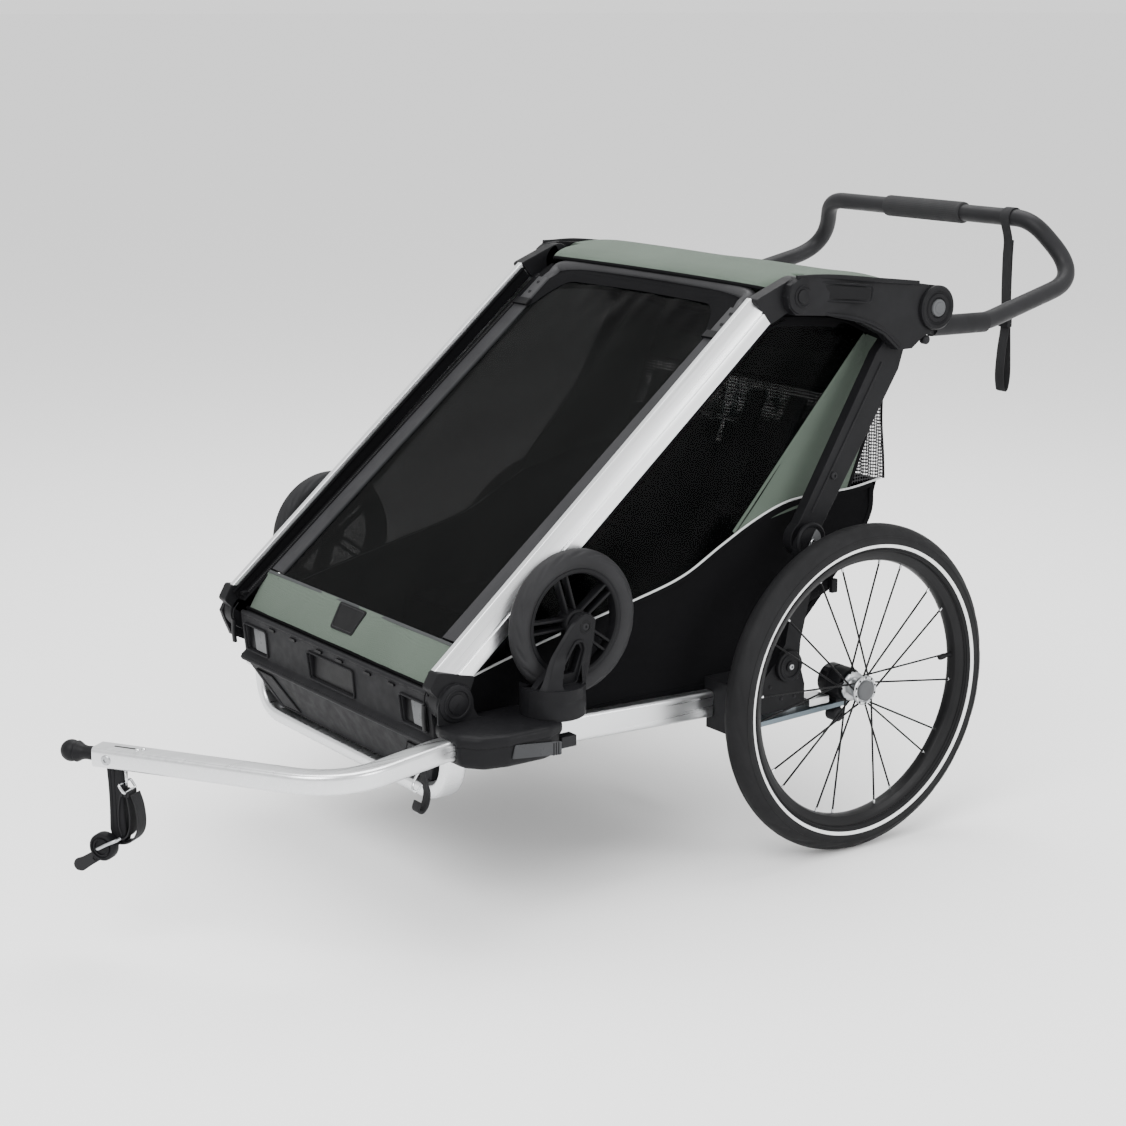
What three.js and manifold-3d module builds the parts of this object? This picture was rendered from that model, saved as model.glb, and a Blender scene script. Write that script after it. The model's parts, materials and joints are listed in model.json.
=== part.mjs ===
// Two-seat child bicycle trailer: folding frame, 20-inch wheels, stowed stroller wheels and a tow arm.
// Millimetres. +X is the trailer's left, -Y is the travel direction, +Z is up, z = 0 is the ground.
// Shapes are written with the wheel axle at y = 0; the whole group then moves by CENTRE_Y.
import * as THREE from 'three';
import { mergeVertices } from 'three/addons/utils/BufferGeometryUtils.js';
import Module from 'manifold-3d';

// Driving dimensions
const CENTRE_Y = 301.185;        // moves the middle of the length to y = 0
const GAP = 0.3;                 // clearance between parts that touch
const AXLE_Z = 252;              // main wheel radius, so also the axle height
const WHEEL_X = 380;             // main wheel centre plane
const TYRE_R = 23.5;             // main tyre section radius
const SPOKES = { count: 20, inner: 16.5, outer: 195.5, offset: 9, lean: 11 };
const STOW = { x: 330, y: -495, z: 423, r: 103.5, tyre: 15 };   // stowed stroller wheel
const FRONT_JOINT = { y: -675, z: 333 };                        // front pillar foot hinge
const TOP_JOINT = { y: -75, z: 841 };                           // front pillar to pod hinge
const POD_REAR = { y: 110, z: 768 };                            // rear pillar top in the pod
const REAR_JOINT = { y: -69, z: 482 };                          // rear pillar foot hinge
const GRIP_JOINT = { y: 165, z: 810 };                          // handlebar tilt hinge
const CROSSBAR = { y: 485, z: 916 };                            // handlebar crossbar axis
const PILLAR_X = [284, 306];     // layer of the front pillars
const LINK_X = [311, 329];       // layer of the rear pillars and the handlebar roots
const POD_X = [332, 348];        // outer plate of the pods
const BODY_X = 281;              // half width of the fabric body
const COVER_X = 274;             // half width of the front cover
const ARM = { x: 336, z: 281, w: 34, h: 28, bendY: -716, cornerX: 386, cornerY: -898, tipX: 80, tipY: -1093.02 };
const ARM_UNDER = ARM.z - ARM.h / 2;
const FORK = { x: 346, y: -540, r: 46 };

// colour, roughness and metalness of each look
const COLOUR = {
  black: [0x1c1c1e, 0.55, 0],
  charcoal: [0x35363a, 0.6, 0],
  silver: [0xc9cccf, 0.35, 1],
  grey: [0x6f7276, 0.5, 0],
  green: [0x78837a, 0.9, 0],
  cloth: [0x16171a, 0.95, 0],
  tint: [0x2a2d2e, 0.15, 0],
  tyre: [0x2b2b2d, 0.85, 0],
  steel: [0x9a9da1, 0.3, 1],
  slate: [0x46525a, 0.45, 0.6],
  mesh: [0x2d2e30, 0.95, 0],
};

const wasm = await Module();
wasm.setup();
const trailer = new THREE.Group();

// ---------- geometry helpers ----------
function solid(geometry) {
  const plain = geometry.clone();
  plain.deleteAttribute('normal');
  plain.deleteAttribute('uv');
  const merged = mergeVertices(plain, 1e-4);
  return new wasm.Manifold(new wasm.Mesh({
    numProp: 3,
    vertProperties: new Float32Array(merged.attributes.position.array),
    triVerts: new Uint32Array(merged.index.array),
  }));
}

function geometryOf(manifold) {
  const mesh = manifold.getMesh();
  const geometry = new THREE.BufferGeometry();
  geometry.setAttribute('position', new THREE.BufferAttribute(mesh.vertProperties, 3));
  geometry.setIndex(new THREE.BufferAttribute(mesh.triVerts, 1));
  return geometry;
}

function join(...pieces) {
  return geometryOf(pieces.map(solid).reduce((all, piece) => all.add(piece)));
}

function cut(base, ...tools) {
  return geometryOf(tools.map(solid).reduce((left, tool) => left.subtract(tool), solid(base)));
}

function common(a, b) {
  return geometryOf(solid(a).intersect(solid(b)));
}

function shapeOf(points) {
  return new THREE.Shape(points.map(([a, b]) => new THREE.Vector2(a, b)));
}

function extruded(shape, from, to) {
  const options = { depth: to - from, bevelEnabled: false, curveSegments: 6 };
  return new THREE.ExtrudeGeometry(shape, options).translate(0, 0, from);
}

const ALONG_X = new THREE.Matrix4().set(0, 0, 1, 0, 1, 0, 0, 0, 0, 1, 0, 0, 0, 0, 0, 1);
const ALONG_Y = new THREE.Matrix4().set(1, 0, 0, 0, 0, 0, -1, 0, 0, 1, 0, 0, 0, 0, 0, 1);

// outline in (y, z), extruded from x = from to x = to
function plateX(points, from, to) {
  return extruded(shapeOf(points), from, to).applyMatrix4(ALONG_X);
}

// outline in (x, z), extruded from y = from to y = to
function plateY(points, from, to) {
  return extruded(shapeOf(points), -to, -from).applyMatrix4(ALONG_Y);
}

// outline in (x, y), extruded from z = from to z = to
function plateZ(points, from, to) {
  return extruded(shapeOf(points), from, to);
}

function block(x0, x1, y0, y1, z0, z1) {
  const box = new THREE.BoxGeometry(x1 - x0, y1 - y0, z1 - z0);
  return box.translate((x0 + x1) / 2, (y0 + y1) / 2, (z0 + z1) / 2);
}

function discX(r, from, to, y, z, sides = 24) {
  const disc = new THREE.CylinderGeometry(r, r, to - from, sides).rotateZ(Math.PI / 2);
  return disc.translate((from + to) / 2, y, z);
}

function discZ(r, from, to, x, y, sides = 24) {
  const disc = new THREE.CylinderGeometry(r, r, to - from, sides).rotateX(Math.PI / 2);
  return disc.translate(x, y, (from + to) / 2);
}

// closed profile of [radius, x] pairs turned about the X direction through (y, z)
function turnedX(profile, y, z, sides) {
  const points = profile.map(([r, x]) => new THREE.Vector2(r, x));
  if (THREE.ShapeUtils.isClockWise(points)) points.reverse();
  const closed = [...points, points[0]];
  return new THREE.LatheGeometry(closed, sides).rotateZ(-Math.PI / 2).translate(0, y, z);
}

// solid of revolution: the profile runs from the axis to the axis
function spindleX(profile, y, z, sides) {
  const ends = [[0, profile[0][1]], ...profile, [0, profile[profile.length - 1][1]]];
  const points = ends.map(([r, x]) => new THREE.Vector2(r, x));
  return new THREE.LatheGeometry(points, sides).rotateZ(-Math.PI / 2).translate(0, y, z);
}

// ring section of a tyre: a circle with its inner side cut flat at the bead radius
function tyreProfile(major, minor, bead, x, steps) {
  const start = Math.acos((bead - major) / minor);
  return Array.from({ length: steps + 1 }, (_, i) => {
    const angle = start - (2 * start * i) / steps;
    return [major + minor * Math.cos(angle), x + minor * Math.sin(angle)];
  });
}

function roundedSection(w, h, r) {
  const shape = new THREE.Shape();
  shape.moveTo(-w / 2 + r, -h / 2);
  shape.lineTo(w / 2 - r, -h / 2);
  shape.absarc(w / 2 - r, -h / 2 + r, r, -Math.PI / 2, 0);
  shape.lineTo(w / 2, h / 2 - r);
  shape.absarc(w / 2 - r, h / 2 - r, r, 0, Math.PI / 2);
  shape.lineTo(-w / 2 + r, h / 2);
  shape.absarc(-w / 2 + r, h / 2 - r, r, Math.PI / 2, Math.PI);
  shape.lineTo(-w / 2, -h / 2 + r);
  shape.absarc(-w / 2 + r, -h / 2 + r, r, Math.PI, 1.5 * Math.PI);
  return shape;
}

function circleSection(r) {
  return new THREE.Shape().absarc(0, 0, r, 0, 2 * Math.PI);
}

// a path of straight runs whose corners are rounded with the given radii
function roundedPath(points, radii) {
  const corners = points.map((p) => new THREE.Vector3(...p));
  const path = new THREE.CurvePath();
  let from = corners[0];
  for (let i = 1; i < corners.length - 1; i += 1) {
    const back = corners[i - 1].clone().sub(corners[i]).normalize();
    const ahead = corners[i + 1].clone().sub(corners[i]).normalize();
    const setback = radii[i - 1] / Math.tan(back.angleTo(ahead) / 2);
    const entry = corners[i].clone().addScaledVector(back, setback);
    const exit = corners[i].clone().addScaledVector(ahead, setback);
    path.add(new THREE.LineCurve3(from, entry));
    path.add(new THREE.QuadraticBezierCurve3(entry, corners[i], exit));
    from = exit;
  }
  path.add(new THREE.LineCurve3(from, corners[corners.length - 1]));
  return path;
}

function swept(section, path, steps, curveSegments) {
  const options = { extrudePath: path, steps, curveSegments, bevelEnabled: false };
  return new THREE.ExtrudeGeometry(section, options);
}

function mirrored(geometry) {
  const other = geometry.index ? geometry.toNonIndexed() : geometry.clone();
  const place = other.attributes.position;
  for (let i = 0; i < place.count; i += 3) {
    const [ax, ay, az] = [place.getX(i), place.getY(i), place.getZ(i)];
    place.setXYZ(i, -place.getX(i + 1), place.getY(i + 1), place.getZ(i + 1));
    place.setXYZ(i + 1, -ax, ay, az);
    place.setX(i + 2, -place.getX(i + 2));
  }
  return other;
}

function add(name, geometry, look) {
  const [color, roughness, metalness] = COLOUR[look];
  const mesh = new THREE.Mesh(geometry, new THREE.MeshStandardMaterial({ color, roughness, metalness }));
  mesh.name = name;
  trailer.add(mesh);
}

// the same piece on the left (+X) and, mirrored, on the right
function addPair(name, geometry, look) {
  add(`left_${name}`, geometry, look);
  add(`right_${name}`, mirrored(geometry), look);
}

// ---------- frame geometry in the side view ----------
const PILLAR_RUN = Math.hypot(TOP_JOINT.y - FRONT_JOINT.y, TOP_JOINT.z - FRONT_JOINT.z);
const PILLAR_DIR = [(TOP_JOINT.y - FRONT_JOINT.y) / PILLAR_RUN, (TOP_JOINT.z - FRONT_JOINT.z) / PILLAR_RUN];

// (y, z) at a distance up the front pillar line and a height square to it
function onPillar(along, above) {
  return [
    FRONT_JOINT.y + PILLAR_DIR[0] * along - PILLAR_DIR[1] * above,
    FRONT_JOINT.z + PILLAR_DIR[1] * along + PILLAR_DIR[0] * above,
  ];
}

// ---------- chassis ----------
function sideRail() {
  const section = roundedSection(22, 40, 8);
  const front = new THREE.Vector3(293.5, -668, 263);
  const rear = new THREE.Vector3(293.5, -218, 246);
  return swept(section, new THREE.LineCurve3(front, rear), 1, 2);
}

function frontCrossBar() {
  const path = roundedPath([
    [294, -652, 240], [294, -652, 179], [-294, -652, 179], [-294, -652, 240],
  ], [58, 58]);
  return swept(roundedSection(36, 21, 9), path, 26, 2);
}

function rearBracket() {
  const box = plateX([[-217, 228], [-95, 228], [-95, 262], [-112, 284], [-217, 284]], 282.5, 330.5);
  const strut = plateX([
    [-217, 228], [-72, 228], [-72, 262], [-84, 300], [-82, 330], [-52, 452], [-88, 452], [-112, 330],
    [-134, 300], [-150, 284], [-217, 284],
  ], 330, 342);
  const pedestal = discX(24, 330, 347, -107, 296);
  const eye = discX(24, 330, 342, REAR_JOINT.y, REAR_JOINT.z - 12);
  const foot = block(284, 330, -214, -176, 206, 229);
  return join(box, strut, pedestal, eye, foot);
}

function leafSpring() {
  return plateX([[-172, 213], [8, 217], [8, 225], [-172, 221]], 316, 352);
}

function axleHousing() {
  const body = spindleX([[25, 318], [26, 322], [26, 362], [24, 365]], 0, AXLE_Z, 24);
  return cut(body, discX(7, 342, 366, 0, AXLE_Z, 16));
}

function bumper() {
  const profile = plateX([
    [-692, 336], [-664, 343], [-664, 332], [-676, 326], [-670, 268], [-640, 191], [-656, 191],
    [-683, 256], [-694, 262], [-694, 270], [-686, 276],
  ], -272, 272);
  const outline = plateY([
    [-272, 350], [-272, 262], [-215, 190], [215, 190], [272, 262], [272, 350],
  ], -710, -620);
  const pocketSpans = [[-258, -196], [-62, 62], [196, 258]];
  const pockets = pocketSpans.map(([x0, x1]) => block(x0, x1, -700, -681, 282, 320));
  return cut(common(profile, outline), ...pockets);
}

function fabricBody() {
  const side = [
    [-648, 350], [-640, 262], [-628, 194], [-500, 194], [-425, 268], [-92, 268], [-62, 302], [92, 462],
    [112, 540], [-19, 532], [-72, 526], [-130, 506], [-187, 479], [-262, 442], [-353, 419], [-450, 398],
  ];
  const inner = [
    [-660, 360], [-641, 358], [-634, 262], [-622, 200], [-503, 200], [-428, 274], [-95, 274],
    [-67, 306], [86, 465], [106, 560], [106, 620], [-660, 620],
  ];
  return cut(plateX(side, -BODY_X, BODY_X), plateX(inner, -BODY_X + 5, BODY_X - 5));
}

function seatBase() {
  return plateX([
    [-400, 304], [-400, 342], [-380, 350], [-120, 334], [-66, 346], [-62, 326], [-110, 296],
  ], -255, 255);
}

function seatBack() {
  const hang = [[-58, 354], [-42, 346], [60, 560], [76, 700], [78, 790], [60, 792], [46, 700], [20, 560]];
  return plateX(hang, -245, 245);
}

function rearBag() {
  const wall = plateX([[84, 548], [116, 548], [124, 640], [122, 716], [92, 716]], -270, 270);
  const pocket = plateX([[88, 553], [112, 553], [120, 640], [118, 730], [90, 730]], -266, 266);
  return cut(wall, pocket);
}

function sideWindow() {
  const [frontY, frontZ] = onPillar(46, -1);
  const [topY, topZ] = onPillar(762, -14);
  return plateX([
    [frontY, frontZ], [-450, 400], [-353, 421], [-262, 444], [-187, 481], [-130, 508], [-72, 528],
    [-19, 534], [80, 541], [82, 640], [90, 790], [topY + 30, topZ + 4], [topY, topZ],
  ], BODY_X - 4, BODY_X);
}

function dock() {
  const low = plateZ([
    [308, -712], [372, -706], [390, -680], [400, -645], [400, -580], [388, -552], [345, -530], [308, -540],
  ], 258, 304);
  const hump = plateZ([[308, -712], [366, -708], [380, -690], [384, -612], [308, -604]], 303, 315);
  const plate = plateX([
    [-704, 314], [-706, 333], [-690, 361], [-675, 364], [-658, 361], [-644, 333], [-634, 314],
  ], 308, 317);
  const bevel = plateY([[376, 304.2], [401, 291], [401, 316], [376, 316]], -720, -520);
  const receiver = block(
    ARM.x - ARM.w / 2 - 0.6, ARM.x + ARM.w / 2 + 0.6, -720, -604, ARM_UNDER - 0.6, ARM.z + ARM.h / 2 + 0.6,
  );
  const socket = discZ(12.6, 272, 306, FORK.x, FORK.y);
  const keyway = block(365.4, 384.6, -557, -520, 263.4, 280.6);
  return cut(join(low, hump, plate), bevel, receiver, socket, keyway);
}

// the far side has no tow arm receiver: a side plate carries the hinge back to a shorter dock
function shortDock() {
  const low = plateZ([
    [308, -618], [376, -616], [394, -604], [400, -580], [388, -552], [345, -530], [308, -540],
  ], 258, 304);
  const plate = plateX([
    [-700, 316], [-706, 333], [-690, 361], [-675, 364], [-658, 361], [-640, 333], [-600, 304],
    [-600, 262], [-640, 266], [-690, 292],
  ], 308, 317);
  const bevel = plateY([[376, 304.2], [401, 291], [401, 316], [376, 316]], -720, -520);
  const socket = discZ(12.6, 272, 306, FORK.x, FORK.y);
  const keyway = block(365.4, 384.6, -557, -520, 263.4, 280.6);
  return cut(join(low, plate), bevel, socket, keyway);
}

function dockButton() {
  return block(366, 384, -551, -526, 264, 280);
}

function brakePedal() {
  const path = roundedPath([[-60, -128, 196], [-60, -40, 176], [60, -40, 176], [60, -128, 196]], [20, 20]);
  const eye = discX(9, -66, 66, -136, 198, 16);
  return join(swept(circleSection(6), path, 20, 3), eye);
}

function rearBeam() {
  const beam = discX(15, -282, 282, -136, 246, 20);
  const ears = [-84, 70].map((x) => block(x, x + 14, -150, -122, 188, 246));
  return cut(join(beam, ...ears), discX(5, -90, 90, -136, 198, 12));
}

// ---------- folding frame ----------
function frontPillar() {
  const low = onPillar(34, 5);
  const high = onPillar(732, 2);
  const highTop = onPillar(722, 48);
  const lowTop = onPillar(22, 49);
  const bar = plateX([low, high, highTop, lowTop], ...PILLAR_X);
  const groove = plateX([
    onPillar(20, 22), onPillar(740, 22), onPillar(740, 25), onPillar(18, 25),
  ], 304, 307);
  return cut(bar, groove);
}

function pillarFoot() {
  const eye = discX(28, 284, 307.7, FRONT_JOINT.y, FRONT_JOINT.z);
  const neck = plateX([
    onPillar(0, -22), onPillar(33.6, 5), onPillar(21.6, 49), onPillar(-6, 38),
  ], 284, 306);
  return join(eye, neck);
}

function frontBow() {
  const ends = [1, -1].map((side) => {
    const eye = discX(27, 284, 308.7, TOP_JOINT.y, TOP_JOINT.z);
    const neck = plateX([
      onPillar(732.4, 2), onPillar(790, -16), onPillar(800, 24), onPillar(722.4, 48),
    ], 284, 306);
    const knuckle = join(eye, neck);
    return side > 0 ? knuckle : mirrored(knuckle);
  });
  const [y, z] = onPillar(764, 12);
  const path = new THREE.CatmullRomCurve3([
    new THREE.Vector3(290, y, z), new THREE.Vector3(255, y - 2, z + 1), new THREE.Vector3(0, y - 8, z + 4),
    new THREE.Vector3(-255, y - 2, z + 1), new THREE.Vector3(-290, y, z),
  ]);
  return join(ends[0], swept(circleSection(11), path, 14, 3), ends[1]);
}

function frontCover() {
  return plateX([
    onPillar(64, 28), onPillar(744, 18), onPillar(744, 14), onPillar(64, 24),
  ], -COVER_X, COVER_X);
}

function frontBand() {
  return plateX([
    onPillar(8, 13), onPillar(63.6, 28), onPillar(63.6, 24), onPillar(12, 9),
  ], -COVER_X, COVER_X);
}

function pod() {
  const outer = plateX([
    [-103, 841], [-97, 858], [-82, 868], [-60, 869], [30, 860], [120, 850], [165, 843], [188, 833],
    [198, 810], [188, 787], [165, 777], [140, 766], [120, 752], [92, 752], [60, 778], [20, 798],
    [-30, 810], [-60, 812], [-86, 814], [-99, 826],
  ], ...POD_X);
  const inside = [309, POD_X[0] + 0.5];
  const rib = plateX([
    [-60, 869], [30, 860], [120, 850], [165, 843], [165, 834], [20, 822], [-50, 834],
  ], ...inside);
  const boss = discX(27, ...inside, TOP_JOINT.y, TOP_JOINT.z);
  const housing = discX(33, POD_X[0], 354, GRIP_JOINT.y, GRIP_JOINT.z);
  const bore = discX(13.4, 344, 355, GRIP_JOINT.y, GRIP_JOINT.z);
  return cut(join(outer, rib, boss, housing), bore);
}

function pivotButton() {
  return discX(13, 350, 358, GRIP_JOINT.y, GRIP_JOINT.z);
}

function roof() {
  const sheet = plateX([
    [-84, 854], [-84, 860], [-60, 864], [0, 866], [70, 858], [150, 840], [152, 834], [70, 852], [0, 860],
    [-60, 858],
  ], -306, 306);
  const notches = [-310, 281].map((x) => block(x, x + 29, -110, -46, 800, 900));
  return cut(sheet, ...notches);
}

function rearPillar() {
  const [dy, dz] = [POD_REAR.y - REAR_JOINT.y, POD_REAR.z - REAR_JOINT.z];
  const run = Math.hypot(dy, dz);
  const at = (along, across) => [
    REAR_JOINT.y + (dy * along - dz * across) / run,
    REAR_JOINT.z + (dz * along + dy * across) / run,
  ];
  const bar = plateX([
    at(0, -22), at(run - 40, -28), at(run, -18), at(run, 18), at(run - 40, 26), at(0, 22),
  ], ...LINK_X);
  const top = discX(19, ...LINK_X, POD_REAR.y, POD_REAR.z, 20);
  const foot = discX(26, ...LINK_X, REAR_JOINT.y, REAR_JOINT.z);
  return join(bar, top, foot);
}

// ---------- handlebar ----------
function handlebar() {
  const side = [[320, 188, 777], [320, 300, 774], [303, 536, 826], [238, CROSSBAR.y, CROSSBAR.z]];
  const otherSide = side.map(([x, y, z]) => [-x, y, z]).reverse();
  const path = roundedPath([...side, ...otherSide], [200, 60, 60, 60, 60, 200]);
  const tube = swept(circleSection(14), path, 64, 3);
  const root = plateX([
    [147, 815], [165, 829], [184, 818], [206, 789], [206, 763], [186, 763], [150, 800],
  ], 312, 328);
  return join(root, tube, mirrored(root));
}

function centreGrip() {
  return turnedX([[14.4, -88], [17.5, -85], [17.5, 85], [14.4, 88]], CROSSBAR.y, CROSSBAR.z, 16);
}

function wristStrap() {
  const loop = [
    [474, 898], [470, 860], [472, 738], [466, 700], [462, 650], [470, 630], [482, 630], [490, 650],
    [487, 700], [481, 738], [480, 860], [484, 898],
  ];
  const hole = [[476.5, 736], [470, 700], [466, 652], [472, 634], [480, 634], [486, 652], [483, 700]];
  return cut(plateX(loop, 196, 214), plateX(hole, 195, 215));
}

// ---------- wheels ----------
function rim() {
  return turnedX([
    [211.4, WHEEL_X - 13], [211.4, WHEEL_X + 13], [203, WHEEL_X + 12], [197, WHEEL_X + 7],
    [197, WHEEL_X - 7], [203, WHEEL_X - 12],
  ], 0, AXLE_Z, 40);
}

// twenty spokes in pairs, from the hub's two flanges to just inside the rim
function spokes() {
  return Array.from({ length: SPOKES.count }, (_, i) => {
    const reach = SPOKES.outer - SPOKES.inner;
    const side = SPOKES.offset * (i % 4 < 2 ? 1 : -1);
    const lean = SPOKES.lean * (i % 2 ? 1 : -1);
    const bar = new THREE.BoxGeometry(3, 3, reach).translate(0, side, SPOKES.inner + reach / 2);
    bar.applyMatrix4(new THREE.Matrix4().makeShear(0, 0, 0, 0, lean / SPOKES.outer, 0));
    bar.translate(WHEEL_X - lean, 0, 0).rotateX((i * 2 * Math.PI) / SPOKES.count);
    return bar.translate(0, 0, AXLE_Z);
  });
}

function mainTyre() {
  const profile = tyreProfile(AXLE_Z - TYRE_R, TYRE_R, 212, WHEEL_X, 8);
  return turnedX(profile, 0, AXLE_Z, 48);
}

function hub() {
  const profile = [
    [6, 344], [6, 366], [13, 366], [13, 369], [22.5, 369], [22.5, 373], [13.5, 375], [13.5, 388],
    [22.5, 390], [22.5, 398], [20, 399], [17, 399],
  ];
  const shell = join(spindleX(profile, 0, AXLE_Z, 20), ...spokes());
  return cut(shell, discX(16, 392.5, 400, 0, AXLE_Z, 20));
}

function hubButton() {
  return spindleX([[15.4, 396.5], [15.4, 400], [13, 403]], 0, AXLE_Z, 20);
}

function stowTyre() {
  return turnedX(tyreProfile(STOW.r - STOW.tyre, STOW.tyre, 77, STOW.x, 6), STOW.y, STOW.z, 36);
}

function stowCentre() {
  const ring = turnedX([
    [76.6, STOW.x - 9], [76.6, STOW.x + 9], [70, STOW.x + 8], [70, STOW.x - 8],
  ], 0, 0, 32);
  const hubBody = spindleX([
    [17, STOW.x - 14], [19, STOW.x - 10], [19, STOW.x + 12], [15, STOW.x + 15],
  ], 0, 0, 20);
  const spokes = [];
  for (let i = 0; i < 5; i += 1) {
    for (const side of [-5.5, 5.5]) {
      const bar = new THREE.BoxGeometry(13, 4, 60).translate(STOW.x, side, 42);
      spokes.push(bar.rotateX((i * 2 * Math.PI) / 5 + 0.3));
    }
  }
  return cut(join(ring, hubBody, ...spokes), discX(5.4, 300, 360, 0, 0, 12)).translate(0, STOW.y, STOW.z);
}

function fork() {
  const base = discZ(FORK.r, 304.4, 347, FORK.x, FORK.y, 28);
  const flat = block(295, 307.3, -600, -480, 300, 350);
  const stub = discZ(12, 276, 305, FORK.x, FORK.y);
  const leg = plateX([
    [-584, 340], [-497, 340], [-480, 402], [-477, 430], [-486, 440], [-502, 440], [-512, 432],
    [-540, 380], [-574, 352],
  ], 349, 361);
  const slot = plateX([
    [-545, 361], [-514, 361], [-502, 392], [-506, 400], [-513, 400], [-520, 392],
  ], 348, 362);
  const saddle = discX(STOW.r + 5, 295, 348.5, STOW.y, STOW.z, 36);
  const bolt = discX(5, 313, 350, STOW.y, STOW.z, 12);
  return join(cut(join(base, stub, leg), slot, saddle, flat), bolt);
}

// ---------- tow arm ----------
const TIP_TURN = new THREE.Vector2(ARM.tipX - ARM.cornerX, ARM.tipY - ARM.cornerY);
const TIP_DIR = TIP_TURN.clone().normalize();
const TIP_YAW = Math.atan2(TIP_DIR.y, TIP_DIR.x);

function towArm() {
  const path = roundedPath([
    [ARM.x, -610, ARM.z], [ARM.x, ARM.bendY, ARM.z], [ARM.cornerX, ARM.cornerY, ARM.z],
    [ARM.tipX, ARM.tipY, ARM.z],
  ], [60, 100]);
  return swept(roundedSection(ARM.h, ARM.w, 6), path, 26, 2);
}

// moves a piece drawn along +X from the tip to the tip's place and heading
function atTip(geometry, along = 0, z = ARM.z) {
  return geometry.rotateZ(TIP_YAW).translate(ARM.tipX + TIP_DIR.x * along, ARM.tipY + TIP_DIR.y * along, z);
}

function coupling() {
  const shaft = discX(9.5, GAP, 34, 0, 0, 16);
  const ball = new THREE.SphereGeometry(15, 16, 10).translate(42, 0, 0);
  const collar = discX(12.5, 26, 34, 0, 0, 16);
  return atTip(join(shaft, collar, ball));
}

function hitchFlex() {
  const drop = plateX([
    [-13, -18.4], [13, -18.4], [11, -30], [11, -108], [4, -122], [-8, -122], [-13, -108],
  ], -8, 8);
  return atTip(drop.rotateZ(Math.PI / 2), -28, ARM_UNDER + 18);
}

function hitchStrap() {
  const loop = plateY([
    [-46, -44], [-38, -42], [-37, -18.4], [-33, -18.4], [-32, -43], [-24, -46], [-18, -60], [-16, -112],
    [-8, -118.6], [-8, -123], [-26, -124], [-44, -112], [-52, -84], [-50, -60],
  ], -11, 11);
  const hole = plateY([
    [-44, -50], [-27, -52], [-22, -64], [-21, -108], [-28, -116], [-40, -106], [-47, -84], [-46, -62],
  ], -12, 12);
  return atTip(cut(loop, hole).translate(-4, 0, 0), -28 - 9, ARM_UNDER + 18);
}

function hitchKnob() {
  const disc = discX(19, 8.4, 24, 0, 0, 24).rotateZ(Math.PI / 2).translate(0, 0, -127);
  const tab = plateY([
    [0, -120], [34, -150], [44, -152], [50, -160], [44, -168], [34, -166], [-6, -138],
  ], 12, 16);
  return atTip(join(disc, tab).translate(16, 0, 0), -28, ARM_UNDER + 18);
}

function safetyStrap() {
  return plateX([
    [-758, 266], [-744, 266], [-742, 232], [-750, 208], [-764, 204], [-768, 212], [-756, 236],
  ], 339, 355);
}

// ---------- assembly ----------
addPair('side_rail', sideRail(), 'silver');
add('front_cross_bar', frontCrossBar(), 'silver');
add('rear_cross_beam', rearBeam(), 'black');
addPair('rear_bracket', rearBracket(), 'black');
addPair('leaf_spring', leafSpring(), 'slate');
addPair('axle_housing', axleHousing(), 'black');
add('front_bumper', bumper(), 'black');
add('fabric_body', fabricBody(), 'cloth');
add('seat_base', seatBase(), 'cloth');
add('seat_back', seatBack(), 'cloth');
add('rear_mesh_bag', rearBag(), 'mesh');
addPair('side_window', sideWindow(), 'tint');
add('left_wheel_dock', dock(), 'black');
add('right_wheel_dock', mirrored(shortDock()), 'black');
addPair('dock_button', dockButton(), 'charcoal');
add('parking_brake_pedal', brakePedal(), 'charcoal');
addPair('front_pillar', frontPillar(), 'silver');
addPair('pillar_foot', pillarFoot(), 'black');
add('front_bow', frontBow(), 'black');
add('front_cover', frontCover(), 'tint');
add('front_band', frontBand(), 'green');
addPair('pod', pod(), 'black');
addPair('pivot_button', pivotButton(), 'grey');
add('roof_canopy', roof(), 'green');
addPair('rear_pillar', rearPillar(), 'black');
add('handlebar', handlebar(), 'charcoal');
add('centre_grip', centreGrip(), 'black');
add('wrist_strap', wristStrap(), 'cloth');
addPair('main_tyre', mainTyre(), 'tyre');
addPair('main_rim', rim(), 'black');
addPair('main_hub', hub(), 'steel');
addPair('hub_button', hubButton(), 'grey');
addPair('stow_tyre', stowTyre(), 'tyre');
addPair('stow_wheel_centre', stowCentre(), 'charcoal');
addPair('stow_fork', fork(), 'charcoal');
add('tow_arm', towArm(), 'silver');
add('coupling_ball', coupling(), 'black');
add('hitch_flex', hitchFlex(), 'black');
add('hitch_strap', hitchStrap(), 'cloth');
add('hitch_knob', hitchKnob(), 'black');
add('safety_strap', safetyStrap(), 'cloth');
trailer.position.y = CENTRE_Y;

export default trailer;
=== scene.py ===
"""Looks of the two-seat child bicycle trailer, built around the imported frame.

Shapes are written in design millimetres: x and y from the wheel axle's middle, z from the ground.
at() takes them to the row frame, in metres. +x is the trailer's left and -y is the travel direction.
"""
import json
from math import acos, cos, dist, pi, radians, sin, sqrt, tan

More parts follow.
